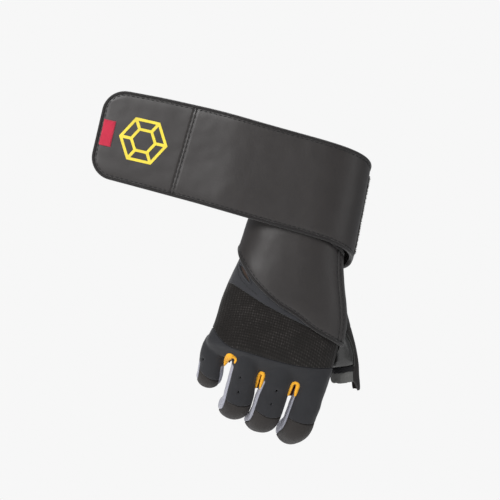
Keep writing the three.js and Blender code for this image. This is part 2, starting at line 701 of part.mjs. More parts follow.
// Builds the glove's shell and cuts it into its pieces.
function gloveSolids() {
  const rows = handRows.filter((row) => row.up < 0).map((row) => row.up * palmLength);
  const union = (solids) => solids.reduce((sum, next) => sum.add(next));
  const outerSolid = union([
    handSolid([...rows, 0, cuffHeight], 0, sides.hand),
    ...Object.values(fingers).map((finger) => fingerSolid(finger, 0, 0, sides.finger)),
    thumbSolid(steps(0, 1, 4), 0, sides.thumb),
  ]);
  const hollow = union([
    handSolid([rows[0] + wall, ...rows.slice(1), 0, cuffHeight + wall], -wall, sides.handHollow),
    ...Object.values(fingers).map((finger) => fingerSolid(finger, wall, -wall, sides.fingerHollow)),
    thumbSolid([wall / thumbLength, ...steps(0.25, 1, 3), thumbPast], -wall, sides.thumbHollow),
  ]);
  let shell = outerSolid.subtract(hollow);
  const pieces = {};
  const take = (name, zone, clear) => {
    pieces[name] = shell.intersect(zone);
    shell = shell.subtract(clear);
  };
  for (const web of webs) {
    pieces['web_trim_' + web.name] = trimSolid(web, 0).subtract(hollow);
    shell = shell.subtract(trimSolid(web, gap));
  }
  // Side walls along the fingers.
  for (const { name, finger, side, up } of sideWalls) {
    const edges = side > 0 ? [sideSeam, palmSeam] : [-palmSeam, -sideSeam];
    const start = webStation(finger, up) + sideWallDrop;
    const zone = (grow) => fingerZone(finger, () => start, fingerEnd(finger) + wall, ...edges, grow);
    take(name, zone(0), zone(gap));
  }
  // Caps over the middle joints.
  for (const [name, finger] of Object.entries(fingers)) {
    const end = fingerEnd(finger) + wall;
    const rise = (turn) => capRise * (1 - Math.cos(radians(turn * capSweep)));
    const start = (turn) => finger.length * fingerLength + capSetback - rise(turn);
    const zone = (grow) => fingerZone(finger, start, end, ...backEdges(name), grow);
    take('finger_cap_' + name, zone(0), zone(gap));
  }
  // Thumb pieces: each with where it starts and ends along the thumb, and its edges round it.
  const { leather, hem, lining, back, liningEdge } = thumbSeams;
  const thumbPieces = {
    thumb_back: [leather, hem, -back, back],
    thumb_hem: [hem, lining, -back, back],
    thumb_lining: [lining, thumbPast, -back, liningEdge],
    thumb_palm: [leather, thumbPast, back, 360 - back],
  };
  for (const [name, edges] of Object.entries(thumbPieces)) {
    take(name, thumbZone(...edges, 0), thumbZone(...edges, gap));
  }
  // Back of the hand.
  const knuckles = (grow) => {
    const lower = () => webs[1].up * palmLength - knuckleOverlap;
    const slab = backSlab(seamHeight(knuckleSeam), lower, sideSeamDepth, grow);
    const backs = Object.entries(fingers).map(([name, finger]) => {
      const straight = finger.length * fingerLength;
      return fingerZone(finger, () => knuckleStart * straight, straight + capRise, ...backEdges(name), grow);
    });
    return union([slab, ...backs]);
  };
  take('knuckle_panel', knuckles(0), knuckles(gap));
  const mesh = (grow) => backSlab(seamHeight(cuffSeam), seamHeight(knuckleSeam), sideSeamDepth, grow);
  take('back_mesh', mesh(0), mesh(gap));
  const cuffEnd = () => cuffHeight + wall;
  const cuff = (grow) => backSlab(cuffEnd, seamHeight(cuffSeam), sideSeamDepth, grow);
  take('cuff_back', cuff(0), cuff(gap));
  const palmCuff = (grow) => backSlab(cuffEnd, () => cuffHeight - palmCuffHeight, 2 * palmDepth, grow);
  take('cuff_palm', palmCuff(0), palmCuff(gap));
  pieces.palm_panel = shell;
  return pieces;
}

// Plain shades of the real thing, by material.
const materials = {
  leather: { color: 0x2e2c2b, roughness: 0.45 },
  suede: { color: 0x24262a, roughness: 0.85 },
  mesh: { color: 0x1d1c1c, roughness: 0.95 },
  neoprene: { color: 0x33373f, roughness: 0.8 },
  side: { color: 0xa3a6b0, roughness: 0.8 },
  yellow: { color: 0xf2a62c, roughness: 0.7 },
  tape: { color: 0x262424, roughness: 0.6 },
  pile: { color: 0x17130f, roughness: 1 },
  red: { color: 0xc22c41, roughness: 0.6 },
  print: { color: 0xe8dc3a, roughness: 0.5 },
};
const materialOf = (name) => {
  if (name.startsWith('web_trim')) return 'yellow';
  if (name.startsWith('side_wall')) return 'side';
  if (name === 'back_mesh') return 'mesh';
  if (name.startsWith('cuff')) return 'neoprene';
  if (name === 'knuckle_panel') return 'suede';
  if (name === 'thumb_hem' || name === 'wrap_binding') return 'tape';
  if (name === 'thumb_lining') return 'side';
  if (name.endsWith('patch')) return 'pile';
  if (name === 'wrap_tag') return 'red';
  if (name === 'wrap_emblem') return 'print';
  return 'leather';
};

const glove = new THREE.Group();

// A solid's surface as geometry with shared vertices.
function surfaceOf(made) {
  const { numVert, numProp, vertProperties, triVerts } = made.getMesh();
  const positions = new Float32Array(numVert * 3);
  for (let i = 0; i < numVert; i++) {
    for (let k = 0; k < 3; k++) positions[i * 3 + k] = vertProperties[i * numProp + k];
  }
  const geometry = new THREE.BufferGeometry();
  geometry.setAttribute('position', new THREE.BufferAttribute(positions, 3));
  geometry.setIndex(new THREE.BufferAttribute(new Uint32Array(triVerts), 1));
  return mergeVertices(geometry, weldDistance);
}

// The largest body of a solid, without the crumbs that a cut can leave.
function largestBody(made) {
  const geometry = surfaceOf(made);
  const welded = new wasm.Manifold(
    new wasm.Mesh({
      numProp: 3,
      vertProperties: geometry.attributes.position.array,
      triVerts: new Uint32Array(geometry.index.array),
    }),
  );
  return welded.decompose().reduce((best, part) => (part.volume() > best.volume() ? part : best));
}

// Adds a solid as a named mesh.
function addPiece(name, made) {
  const geometry = surfaceOf(largestBody(made));
  geometry.computeVertexNormals();
  const mesh = new THREE.Mesh(geometry, new THREE.MeshStandardMaterial(materials[materialOf(name)]));
  mesh.name = name;
  glove.add(mesh);
}

for (const [name, made] of Object.entries(gloveSolids())) addPiece(name, made);

const half = strapThickness / 2;
const edgeInset = bindingThickness + gap;
const seat = half + gap;
addPiece('wrap_strap', strapLayer(wrapStart, strapStop, edgeInset, -half, half));
addPiece('wrap_binding', bindingSolid());
addPiece(
  'wrap_loop_patch',
  strapLayer(loopPatch.from, loopPatch.to, patchInset, seat, seat + patchThickness),
);
addPiece(
  'wrap_hook_patch',
  strapLayer(strapStop - hookPatchLength, strapStop, patchInset, -seat - patchThickness, -seat),
);

const tagShape = new THREE.Shape([
  new THREE.Vector2(0, -tagHeight / 2),
  new THREE.Vector2(tagWidth, -tagHeight / 2),
  new THREE.Vector2(tagWidth, tagHeight / 2),
  new THREE.Vector2(0, tagHeight / 2),
]);
const strapMiddle = (place) => (strapEdges(place).low + strapEdges(place).high) / 2;
addPiece(
  'wrap_tag',
  strapPlate(
    tagShape,
    strapStop - tagInset,
    strapMiddle(strapStop),
    bindingHalf + gap,
    bindingHalf + gap + tagThickness,
  ),
);

// The emblem: two six-sided rings joined by spokes at their corners.
const corner = (radius, angle) =>
  new THREE.Vector2(radius * Math.cos(radians(angle)), radius * Math.sin(radians(angle)));
const corners = (radius) => steps(0, 300, 5).map((angle) => corner(radius, angle));
const emblemShape = new THREE.Shape(corners(emblemRadius));
emblemShape.holes.push(new THREE.Path(corners(emblemRadius * emblemRings.innerIn)));
for (const angle of steps(0, 300, 5)) {
  const [near, far] = [emblemRadius * emblemRings.innerOut, emblemRadius * emblemRings.outerIn];
  const spoke = emblemRings.spoke * emblemRadius;
  const turnNear = THREE.MathUtils.radToDeg(spoke / near);
  const turnFar = THREE.MathUtils.radToDeg(spoke / far);
  emblemShape.holes.push(
    new THREE.Path([
      corner(near, angle + turnNear),
      corner(far, angle + turnFar),
      corner(far, angle + 60 - turnFar),
      corner(near, angle + 60 - turnNear),
    ]),
  );
}
const emblemPlace = strapStop - emblemInset;
addPiece(
  'wrap_emblem',
  strapPlate(emblemShape, emblemPlace, strapMiddle(emblemPlace), seat, seat + emblemThickness),
);

export default glove;
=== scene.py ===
import math

import bpy
import numpy as np
from mathutils import Matrix, Vector, kdtree, noise


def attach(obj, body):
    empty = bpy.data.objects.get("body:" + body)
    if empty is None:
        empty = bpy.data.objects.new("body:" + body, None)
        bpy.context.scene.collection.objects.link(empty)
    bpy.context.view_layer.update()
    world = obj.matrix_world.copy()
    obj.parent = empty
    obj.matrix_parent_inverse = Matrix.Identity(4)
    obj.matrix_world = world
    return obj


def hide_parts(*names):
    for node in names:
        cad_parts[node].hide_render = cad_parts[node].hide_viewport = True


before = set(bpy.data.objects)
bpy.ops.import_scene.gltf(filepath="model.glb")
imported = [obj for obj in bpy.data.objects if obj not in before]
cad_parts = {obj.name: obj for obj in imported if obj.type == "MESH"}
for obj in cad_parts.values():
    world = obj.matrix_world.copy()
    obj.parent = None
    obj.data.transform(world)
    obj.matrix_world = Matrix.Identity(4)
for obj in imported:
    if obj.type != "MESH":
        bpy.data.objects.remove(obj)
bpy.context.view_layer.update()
mm = 0.001  # shapes are laid out in millimetres and made in metres

# Shared sizes and tables. Columns are shares of the named sizes, as in the solids.
hand = {"length": 88, "width": 92, "depth": 36, "squareness": 2.3, "cuff": 14, "palmCuff": 5, "sideSeam": 2,
        "littleSeam": 7}
fingerSize = {"width": 21, "height": 19.6, "length": 49, "tail": 12, "bendRadius": 12, "sideSeam": 73, "litSeam": 67,
              "littleSeam": 50, "palmSeam": 126, "capSeam": 87, "layer": 4}
skin = {"voxel": 0.8, "smoothing": 9, "wall": 1.9, "overrun": 4}


def table(names, rows):
    return {name: np.array([row[i] for row in rows], float) for i, name in enumerate(names.split())}


handRows = table("up left right back palm away roll slant", [
    (-0.985, -0.43, 0.485, 0.2, 0.22, 0.22, 10, 0.08),
    (-0.925, -0.455, 0.51, 0.33, 0.34, 0.17, 10, 0.06),
    (-0.85, -0.458, 0.516, 0.42, 0.44, 0.08, 9, 0.03),
    (-0.68, -0.43, 0.516, 0.47, 0.54, 0.02, 7, 0.01),
    (-0.47, -0.416, 0.5, 0.5, 0.64, 0, 5, 0),
    (-0.32, -0.39, 0.462, 0.52, 0.67, 0, 3, 0),
    (-0.14, -0.352, 0.405, 0.55, 0.63, 0, 1, 0),
    (0, -0.33, 0.37, 0.57, 0.6, 0, 0, 0),
    (0.18, -0.315, 0.355, 0.58, 0.58, 0, 0, 0),
    (0.5, -0.27, 0.385, 0.6, 0.6, 0, 0, 0),
    (0.95, -0.2, 0.43, 0.64, 0.64, 0, 0, 0),
])
fingerNames = ["little", "ring", "middle", "index"]
fingerFacts = table("across up away lean roll flex bend width length tail", [
    (-0.405, -0.79, 0.03, 8, 4, 27, 62, 0.86, 0.5, 0.75),
    (-0.13, -0.74, -0.18, 4.0, 10, 25, 62, 0.95, 0.95, 0.85),
    (0.15, -0.75, -0.1, 0.7, 13, 23, 58, 1, 1, 0.9),
    (0.41, -0.75, 0.07, -0.8, 13, 21, 50, 1.04, 1.02, 1.1),
])
fingers = {name: {key: column[i] for key, column in fingerFacts.items()} for i, name in enumerate(fingerNames)}
fingerSwell = table("share size", [(0, 0.58), (0.2, 0.91), (0.5, 0.985), (0.85, 0.99), (1, 0.93)])
thumb = {"width": 21, "slant": 4, "leather": 0.5, "hem": 0.885, "lining": 0.925, "leftSeam": 75, "rightSeam": 41,
         "seamBow": 13, "bowEnd": 0.96}
capSeams = {"little": (3.6, 0.038, 0.5), "ring": (1.4, 0.003, 0.6), "middle": (1.0, 0.006, 1.2), "index": (-0.8, 0, 0)}
slit = {"from": (-31.8, -17.2), "to": (-21.6, -28.4), "half": 1.3}
vents = [(-41.6, -87.1, 0.8), (-13.6, -93.5, 0.8), (-12.7, -103.9, 0.9),  # across, up, radius
         (13.1, -96.9, 0.9), (11.5, -106.8, 0.7), (37.2, -103.2, 0.7)]
thumbRows = table("along across away up width height", [
    (0, 0.36, 0.3, -0.32, 1.06, 1.05),
    (0.35, 0.43, 0.47, -0.47, 1.1, 1.1),
    (0.65, 0.515, 0.6, -0.63, 1.08, 1.04),
    (0.88, 0.59, 0.7, -0.78, 1, 0.96),
    (1, 0.64, 0.76, -0.925, 0.94, 0.9),
])
knuckleSeam = table("across up", [
    (-0.7, -0.6), (-0.43, -0.73), (-0.38, -0.782), (-0.28, -0.84), (-0.13, -0.855),
    (0.03, -0.867), (0.23, -0.872), (0.4, -0.855), (0.53, -0.82), (0.8, -0.75),
])
cuffSeam = table("across up", [
    (-0.7, -0.33), (-0.39, -0.355), (-0.33, -0.37), (-0.2, -0.42), (-0.08, -0.464),
    (0.2, -0.54), (0.5, -0.6), (0.8, -0.62),
])
webs = [("little_ring", "little", "ring", -0.962), ("ring_middle", "ring", "middle", -1.0),
        ("middle_index", "middle", "index", -1.01)]


def curve(rows, over, key, at):  # a column of a table as a smooth curve over another, straight past both ends
    x, y = rows[over], rows[key]
    slope = np.empty(len(x))
    slope[1:-1] = (y[2:] - y[:-2]) / (x[2:] - x[:-2])
    slope[0], slope[-1] = (y[1] - y[0]) / (x[1] - x[0]), (y[-1] - y[-2]) / (x[-1] - x[-2])
    at = np.asarray(at, float)
    i = np.clip(np.searchsorted(x, at) - 1, 0, len(x) - 2)
    width = x[i + 1] - x[i]
    t = np.clip((at - x[i]) / width, 0, 1)
    inside = ((2 * t**3 - 3 * t**2 + 1) * y[i] + (t**3 - 2 * t**2 + t) * width * slope[i]
              + (3 * t**2 - 2 * t**3) * y[i + 1] + (t**3 - t**2) * width * slope[i + 1])
    return inside + np.minimum(at - x[0], 0) * slope[0] + np.maximum(at - x[-1], 0) * slope[-1]


def bulge(value, power):
    return np.sign(value) * np.abs(value) ** power


def dot(a, b):
    return (a * b).sum(-1)


def unit(a):
    return a / np.maximum(np.linalg.norm(a, axis=-1, keepdims=True), 1e-9)


def handPoint(height, turn, outset=0.0):  # turn 0 is the thumb side, 90 the back, 180 the little finger's side
    height, turn = np.broadcast_arrays(np.asarray(height, float), np.radians(turn))
    up = height / hand["length"]
    left, right, roll = (curve(handRows, "up", key, up) for key in ("left", "right", "roll"))
    half = (right - left) / 2 * hand["width"] + outset
    side = np.where(np.sin(turn) > 0, curve(handRows, "up", "back", up), curve(handRows, "up", "palm", up))
    x = half * bulge(np.cos(turn), 2 / hand["squareness"])
    d = (side * hand["depth"] + outset) * bulge(np.sin(turn), 2 / hand["squareness"])
    roll = np.radians(roll)
    return np.stack([
        (left + right) / 2 * hand["width"] + x * np.cos(roll) + d * np.sin(roll),
        curve(handRows, "up", "away", up) * hand["depth"] + x * np.sin(roll) - d * np.cos(roll),
        height - curve(handRows, "up", "slant", up) * hand["width"] * x / half,
    ], -1)


def onOval(centre, back, side, halves, turn, outset):  # a point of an oval section
    wide, high = halves
    return (centre + side * ((wide + outset) * np.sin(turn))[..., None]
            + back * ((high + outset) * np.cos(turn))[..., None])


def aroundOval(points, centre, back, side, halves):  # turn of points round an oval section, and how far off it
    across, up = dot(points - centre, side), dot(points - centre, back)
    wide, high = halves
    return np.degrees(np.arctan2(across, up)), (np.hypot(across / wide, up / high) - 1) * wide


def fingerEnd(f):
    bend = fingerSize["bendRadius"] * math.radians(f["bend"])
    return f["length"] * fingerSize["length"] + bend + f["tail"] * fingerSize["tail"]


def fingerFrame(f, s):  # centre, heading, back and side of a finger at stations s
    s = np.asarray(s, float)[..., None]
    lean, roll, flex, bend = (math.radians(f[key]) for key in ("lean", "roll", "flex", "bend"))
    axis = np.array([math.sin(lean), 0, -math.cos(lean)])
    curl = np.array([-math.sin(roll), math.cos(roll), 0])
    curl = unit(curl - axis * (curl @ axis))
    radius, straight = fingerSize["bendRadius"], f["length"] * fingerSize["length"]
    angle = flex + np.clip((s - straight) / radius, 0, bend)
    start = np.array([f["across"] * hand["width"], f["away"] * hand["depth"], f["up"] * hand["length"]])
    heading = axis * np.cos(angle) + curl * np.sin(angle)
    centre = (start + (axis * math.cos(flex) + curl * math.sin(flex)) * np.minimum(s, straight)
              + axis * radius * (np.sin(angle) - math.sin(flex)) + curl * radius * (math.cos(flex) - np.cos(angle))
              + heading * np.maximum(s - straight - radius * bend, 0))
    back = axis * np.sin(angle) - curl * np.cos(angle)
    return centre, heading, back, np.broadcast_to(np.cross(-curl, axis), centre.shape)


def fingerHalves(f, s):
    size = f["width"] * curve(fingerSwell, "share", "size", np.clip(np.asarray(s, float) / fingerEnd(f), 0, 1))
    return size * fingerSize["width"] / 2, size * fingerSize["height"] / 2


def fingerPoint(f, s, turn, outset=0.0):
    s, turn = np.broadcast_arrays(np.asarray(s, float), np.radians(turn))
    centre, _, back, side = fingerFrame(f, s)
    return onOval(centre, back, side, fingerHalves(f, s), turn, outset)


def thumbFrame(share):
    share = np.asarray(share, float)
    sizes = {"across": hand["width"], "away": hand["depth"], "up": hand["length"]}

    def middle(at):
        return np.stack([curve(thumbRows, "along", key, at) * size for key, size in sizes.items()], -1)

    heading = unit(middle(share + 0.02) - middle(share - 0.02))
    facing = np.array([-0.1, -1, 0])
    back = unit(facing - heading * (heading @ facing)[..., None])
    return middle(share), heading, back, np.cross(back, heading)


thumbLength = float(np.linalg.norm(thumbFrame(1.0)[0] - thumbFrame(0.0)[0]))


def thumbHalves(share):
    return tuple(curve(thumbRows, "along", key, share) * thumb["width"] / 2 for key in ("width", "height"))


def thumbPoint(share, turn, outset=0.0):
    share, turn = np.broadcast_arrays(np.asarray(share, float), np.radians(turn))
    centre, _, back, side = thumbFrame(share)
    return onOval(centre, back, side, thumbHalves(share), turn, outset)


def thumbSeam(share):  # the bowed seam between the thumb's back and its palm side
    bow = math.pi * np.clip((share - thumb["leather"]) / (thumb["bowEnd"] - thumb["leather"]), 0, 1)
    return thumb["rightSeam"] + thumb["seamBow"] * np.sin(bow)


# Mesh helpers.
def addObject(name, data):
    item = bpy.data.objects.new(name, data)
    bpy.context.scene.collection.objects.link(item)
    return item


def makeMesh(name, points, faces, materials=(), slots=None, smooth=True):
    mesh = bpy.data.meshes.new(name)
    mesh.from_pydata([tuple(p) for p in np.asarray(points) * mm], [], [tuple(int(i) for i in f) for f in faces])
    for material in materials:
        mesh.materials.append(material)
    if slots is not None:
        mesh.polygons.foreach_set("material_index", np.asarray(slots, np.int32))
    mesh.polygons.foreach_set("use_smooth", np.full(len(mesh.polygons), smooth))
    mesh.update()
    return addObject(name, mesh)


def place(item, nodes, slotName, body="root"):
    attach(item, body)
    if nodes:
        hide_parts(*nodes)
    return item


def tubeFaces(rows, columns, start=0, closed=True):
    faces = []
    for i in range(rows - 1):
        for j in range(columns if closed else columns - 1):
            a, b = start + i * columns + j, start + i * columns + (j + 1) % columns
            faces.append((a, b, b + columns, a + columns))
    return faces


def loft(rings):  # points and faces of a closed tube of rings with flat ends
    rings = np.asarray(rings)
    rows, columns = rings.shape[:2]
    faces = tubeFaces(rows, columns)
    faces.append(tuple(range(columns))[::-1])
    faces.append(tuple((rows - 1) * columns + j for j in range(columns)))
    return rings.reshape(-1, 3), faces


def vertexNormals(points, triangles):
    a, b, c = (points[triangles[:, k]] for k in range(3))
    face = np.cross(b - a, c - a)
    normals = np.zeros_like(points)
    for k in range(3):
        np.add.at(normals, triangles[:, k], face)
    return unit(normals)


def meshEdges(triangles):
    pairs = np.sort(np.concatenate([triangles[:, [0, 1]], triangles[:, [1, 2]], triangles[:, [2, 0]]]), axis=1)
    return np.unique(pairs, axis=0, return_counts=True)


def smoothPoints(points, triangles, rounds, share=0.5, keep=None):
    edges, _ = meshEdges(triangles)
    count = np.bincount(edges.ravel(), minlength=len(points))[:, None]
    for _ in range(rounds):
        total = np.zeros_like(points)
        np.add.at(total, edges[:, 0], points[edges[:, 1]])
        np.add.at(total, edges[:, 1], points[edges[:, 0]])
        moved = points + share * (total / np.maximum(count, 1) - points)
        points = moved if keep is None else np.where(keep[:, None], points, moved)
    return points


def splitAt(data, triangles, field):  # cuts triangles where a field crosses zero; returns the faces above it too
    above = field > 0
    count = above[triangles].sum(1)
    mixed = triangles[(count == 1) | (count == 2)]
    lone = above[mixed].sum(1) == 1
    first = np.argmax(above[mixed] == lone[:, None], axis=1)
    turned = np.stack([mixed[np.arange(len(mixed)), (first + k) % 3] for k in range(3)], 1)
    pairs = np.sort(np.concatenate([turned[:, [0, 1]], turned[:, [0, 2]]]), axis=1)
    edges, back = np.unique(pairs, axis=0, return_inverse=True)
    back = back.ravel()
    fa, fb = field[edges[:, 0]], field[edges[:, 1]]
    t = np.clip(fa / (fa - fb), 0.12, 0.88)[:, None]
    fresh = data[edges[:, 0]] * (1 - t) + data[edges[:, 1]] * t
    ab, ac = len(data) + back[:len(turned)], len(data) + back[len(turned):]
    a, b, c = turned.T
    tips = np.stack([a, ab, ac], 1)
    rests = np.concatenate([np.stack([ab, b, c], 1), np.stack([ab, c, ac], 1)])
    whole = (count == 0) | (count == 3)
    faces = np.concatenate([triangles[whole], tips, rests])
    side = np.concatenate([count[whole] == 3, lone, ~lone, ~lone])
    return np.concatenate([data, fresh]), faces, side


# The smooth outer skin of the glove: lofts melted into one surface.
def gloveSkin():
    heights = np.linspace(handRows["up"][0] * hand["length"], hand["cuff"] + skin["overrun"], 56)
    shapes = [loft(handPoint(heights[:, None], np.arange(0, 360, 4)[None, :]))]
    for f in fingers.values():
        stations = np.linspace(0, fingerEnd(f) + skin["overrun"], 44)
        shapes.append(loft(fingerPoint(f, stations[:, None], np.arange(0, 360, 8)[None, :])))
    shapes.append(loft(thumbPoint(np.linspace(0, 1 + 2.2 * skin["overrun"] / thumbLength, 30)[:, None],
                                  np.arange(0, 360, 8)[None, :])))
    points, faces, start = [], [], 0
    for shapePoints, shapeFaces in shapes:
        points.append(shapePoints)
        faces += [tuple(i + start for i in face) for face in shapeFaces]
        start += len(shapePoints)
    raw = makeMesh("rawSkin", np.concatenate(points), faces)
    bpy.context.view_layer.objects.active = raw
    raw.data.update()
    melt = raw.modifiers.new("melt", "REMESH")
    melt.mode, melt.voxel_size = "VOXEL", skin["voxel"] * mm
    melted = raw.evaluated_get(bpy.context.evaluated_depsgraph_get()).to_mesh()
    melted.calc_loop_triangles()
    points = np.empty(len(melted.vertices) * 3)
    melted.vertices.foreach_get("co", points)
    triangles = np.empty(len(melted.loop_triangles) * 3, np.int32)
    melted.loop_triangles.foreach_get("vertices", triangles)
    bpy.data.objects.remove(raw)
    points, triangles = points.reshape(-1, 3) / mm, triangles.reshape(-1, 3)
    return smoothPoints(points, triangles, skin["smoothing"]), triangles


skinPoints, skinFaces = gloveSkin()
print("skin:", len(skinPoints), "points")


# Where each point of the skin lies on a finger or the thumb.
def along(points, samples, centres, headings):
    nearest = np.empty(len(points), int)
    for start in range(0, len(points), 20000):
        block = points[start:start + 20000]
        nearest[start:start + 20000] = ((block[:, None] - centres[None]) ** 2).sum(-1).argmin(1)
    return samples[nearest] + dot(points - centres[nearest], headings[nearest])


def fingerPlaces(points, f):
    samples = np.arange(-12, fingerEnd(f) + 8, 0.5)
    centres, headings, _, _ = fingerFrame(f, samples)
    s = along(points, samples, centres, headings)
    centre, _, back, side = fingerFrame(f, s)
    return s, *aroundOval(points, centre, back, side, fingerHalves(f, s))


def thumbPlaces(points):
    samples = np.arange(-0.2, 1.2, 0.01)
    centres, headings, _, _ = thumbFrame(samples)
    u = along(points, samples * thumbLength, centres, headings)
    centre, _, back, side = thumbFrame(u / thumbLength)
    return u, *aroundOval(points, centre, back, side, thumbHalves(u / thumbLength))


def webStation(f, up):
    return (f["up"] - up) * hand["length"] / (math.cos(math.radians(f["lean"])) * math.cos(math.radians(f["flex"])))


def slitAxis():
    start, end = np.array(slit["from"]), np.array(slit["to"])
    length = np.linalg.norm(end - start)
    return start, length, (end - start) / length


def slitField(x, z):  # above zero in the lens-shaped opening of the cuff
    start, length, ahead = slitAxis()
    share = ((x - start[0]) * ahead[0] + (z - start[1]) * ahead[1]) / length
    off = np.abs((x - start[0]) * ahead[1] - (z - start[1]) * ahead[0])
    half = slit["half"] * np.sin(math.pi * np.clip(share, 0, 1) ** 0.8)
    return np.minimum(half - off, np.minimum(share, 1 - share) * length)


degree = math.radians(1) * 10  # millimetres round a finger


def betweenSeams(name, turn):  # above zero on the back of a finger, up to the seams along it
    right = fingerSize["palmSeam"] if name == "index" else fingerSize["capSeam"]
    return np.minimum(right - turn, turn + fingerSize["capSeam"]) * degree


def panelFields(points):  # one field for each panel and opening, above zero where it may lie; the first one wins
    x, y, z = points.T
    fields, ends = {}, []
    places = {name: fingerPlaces(points, f) for name, f in fingers.items()}
    for name, f in fingers.items():
        s, turn, off = places[name]
        ends.append(np.minimum(s - fingerEnd(f), 5 - np.abs(off)))
    u, turn, off = thumbPlaces(points)
    longer = thumb["slant"] * np.clip((turn - 45) / 35, 0, 1) * (np.abs(turn) < 150) - 0.8
    ends.append(np.minimum(u - thumbLength - longer, 6 - np.abs(off)))
    ends.append(z - hand["cuff"])
    fields["ends"] = np.max(ends, axis=0)
    holes = np.min([np.hypot(x - at[0], z - at[1]) - at[2] for at in vents], axis=0)
    fields["vents"] = np.minimum(-holes, 4 - y)
    fields["slit"] = np.minimum(slitField(x, z), 4 - y)
    sides = [("side_wall_little_outer", "little", None, -1, webs[0][3], fingerSize["sideSeam"], 3)]
    for name, one, other, up in webs:
        first, below = (fingerSize["littleSeam"], 0) if one == "little" else (fingerSize["sideSeam"], 3)
        sides.append(("side_wall_" + name + "_a", one, other, 1, up, first, 3))
        sides.append(("side_wall_" + name + "_b", other, one, -1, up, fingerSize["litSeam"], below))
    for name, finger, neighbour, side, up, seam, below in sides:
        s, turn, off = places[finger]
        own = fingerSize["layer"] - np.abs(off)
        if neighbour:
            own = np.minimum(own, np.abs(places[neighbour][2]) - np.abs(off))
        fields[name] = np.min([s - webStation(fingers[finger], up) - below, (side * turn - seam) * degree,
                               (fingerSize["palmSeam"] - side * turn) * degree, own], axis=0)
    for name, f in fingers.items():
        s, turn, off = places[name]
        base, slope, bow = capSeams[name]
        seam = base + slope * np.clip(turn, -90, 120) - bow * (1 - np.cos(np.radians(np.clip(turn, -110, 110))))
        fields["finger_cap_" + name] = np.min([s - f["length"] * fingerSize["length"] - seam, betweenSeams(name, turn),
                                               fingerSize["layer"] - np.abs(off)], axis=0)
    u, turn, off = thumbPlaces(points)
    near = np.minimum(5 - np.abs(off), u - thumb["leather"] * thumbLength)
    onBack = np.minimum(thumbSeam(u / thumbLength) - turn, turn + thumb["leftSeam"]) * degree
    fields["thumb_lining"] = np.min([near, u - thumb["lining"] * thumbLength, onBack], axis=0)
    fields["thumb_hem"] = np.min([near, u - thumb["hem"] * thumbLength, thumb["lining"] * thumbLength - u, onBack],
                                 axis=0)
    fields["thumb_back"] = np.min([near, thumb["hem"] * thumbLength - u, onBack], axis=0)
    fields["thumb_palm"] = near
    up = z / hand["length"]
    seam = hand["sideSeam"] + hand["littleSeam"] * np.clip((-20 - x) / 15, 0, 1) * np.clip((-z - 30) / 30, 0, 1)
    onBack = (curve(handRows, "up", "away", up) * hand["depth"]
              + x * np.tan(np.radians(curve(handRows, "up", "roll", up))) + seam - y)
    knuckles = curve(knuckleSeam, "across", "up", x / hand["width"]) * hand["length"] - z
    slab = np.min([knuckles, onBack, z - (webs[1][3] * hand["length"] - 6)], axis=0)
    backs = []
    for name, f in fingers.items():
        s, turn, off = places[name]
        straight = f["length"] * fingerSize["length"]
        backs.append(np.min([s - 0.35 * straight, straight + 5 - s, betweenSeams(name, turn),
                             fingerSize["layer"] - np.abs(off)], axis=0))
    fields["knuckle_panel"] = np.max([slab, *backs], axis=0)
    fields["back_mesh"] = np.minimum(curve(cuffSeam, "across", "up", x / hand["width"]) * hand["length"] - z, onBack)
    fields["cuff_back"] = onBack
    fields["cuff_palm"] = z - hand["palmCuff"]
    return fields


def drawTogether(points, share=0.75, reach=7):  # ring and middle finger nearly touch below their web
    heights, sides = -np.linspace(80, 135, 56), []
    for name, turn in (("ring", 75), ("middle", -75)):
        side = fingerPoint(fingers[name], np.linspace(0, fingerEnd(fingers[name]), 60), turn)
        side = side[np.argsort(side[:, 2])]
        sides.append(np.interp(heights, side[:, 2], side[:, 0])[::-1])
    left, right = (np.interp(points[:, 2], heights[::-1], side) for side in sides)
    off = points[:, 0] - (left + right) / 2
    ramp = np.clip((webs[1][3] * hand["length"] - 4 - points[:, 2]) / 10, 0, 1)
    moved = points.copy()
    moved[:, 0] -= np.clip(right - left, 0, 3) / 2 * share * np.tanh(off / 0.5) * np.exp(-(off / reach) ** 2) * ramp
    return moved


def cutPanels():
    fields = panelFields(skinPoints)
    names = list(fields)
    data = np.column_stack([drawTogether(skinPoints), vertexNormals(skinPoints, skinFaces), *fields.values()])
    rest, panels = skinFaces, {}
    for name in names:
        column = 6 + names.index(name)
        for level in (0.0, 0.45, 1.0, -0.45, -1.0):  # extra rows of faces along a seam, for its rounding
            near = np.abs(data[rest, column] - level).min(1) < 3
            data, cut, side = splitAt(data, rest[near], data[:, column] - level)
            rest = np.concatenate([rest[~near], cut])
        inside = data[rest, column].mean(1) > 0
        panels[name], rest = rest[inside], rest[~inside]
    panels["palm_panel"] = rest
    for name in ("ends", "vents", "slit"):
        del panels[name]
    return data, panels


def largestPart(triangles):
    parent = {}

    def find(i):
        while parent.setdefault(i, i) != i:
            parent[i] = parent[parent[i]]
            i = parent[i]
        return i

    for a, b, c in triangles.tolist():
        ra, rb, rc = find(a), find(b), find(c)
        parent[rb] = ra
        parent[find(rc)] = ra
    roots = np.array([find(a) for a in triangles[:, 0].tolist()])
    kinds, counts = np.unique(roots, return_counts=True)
    return triangles[roots == kinds[counts.argmax()]]


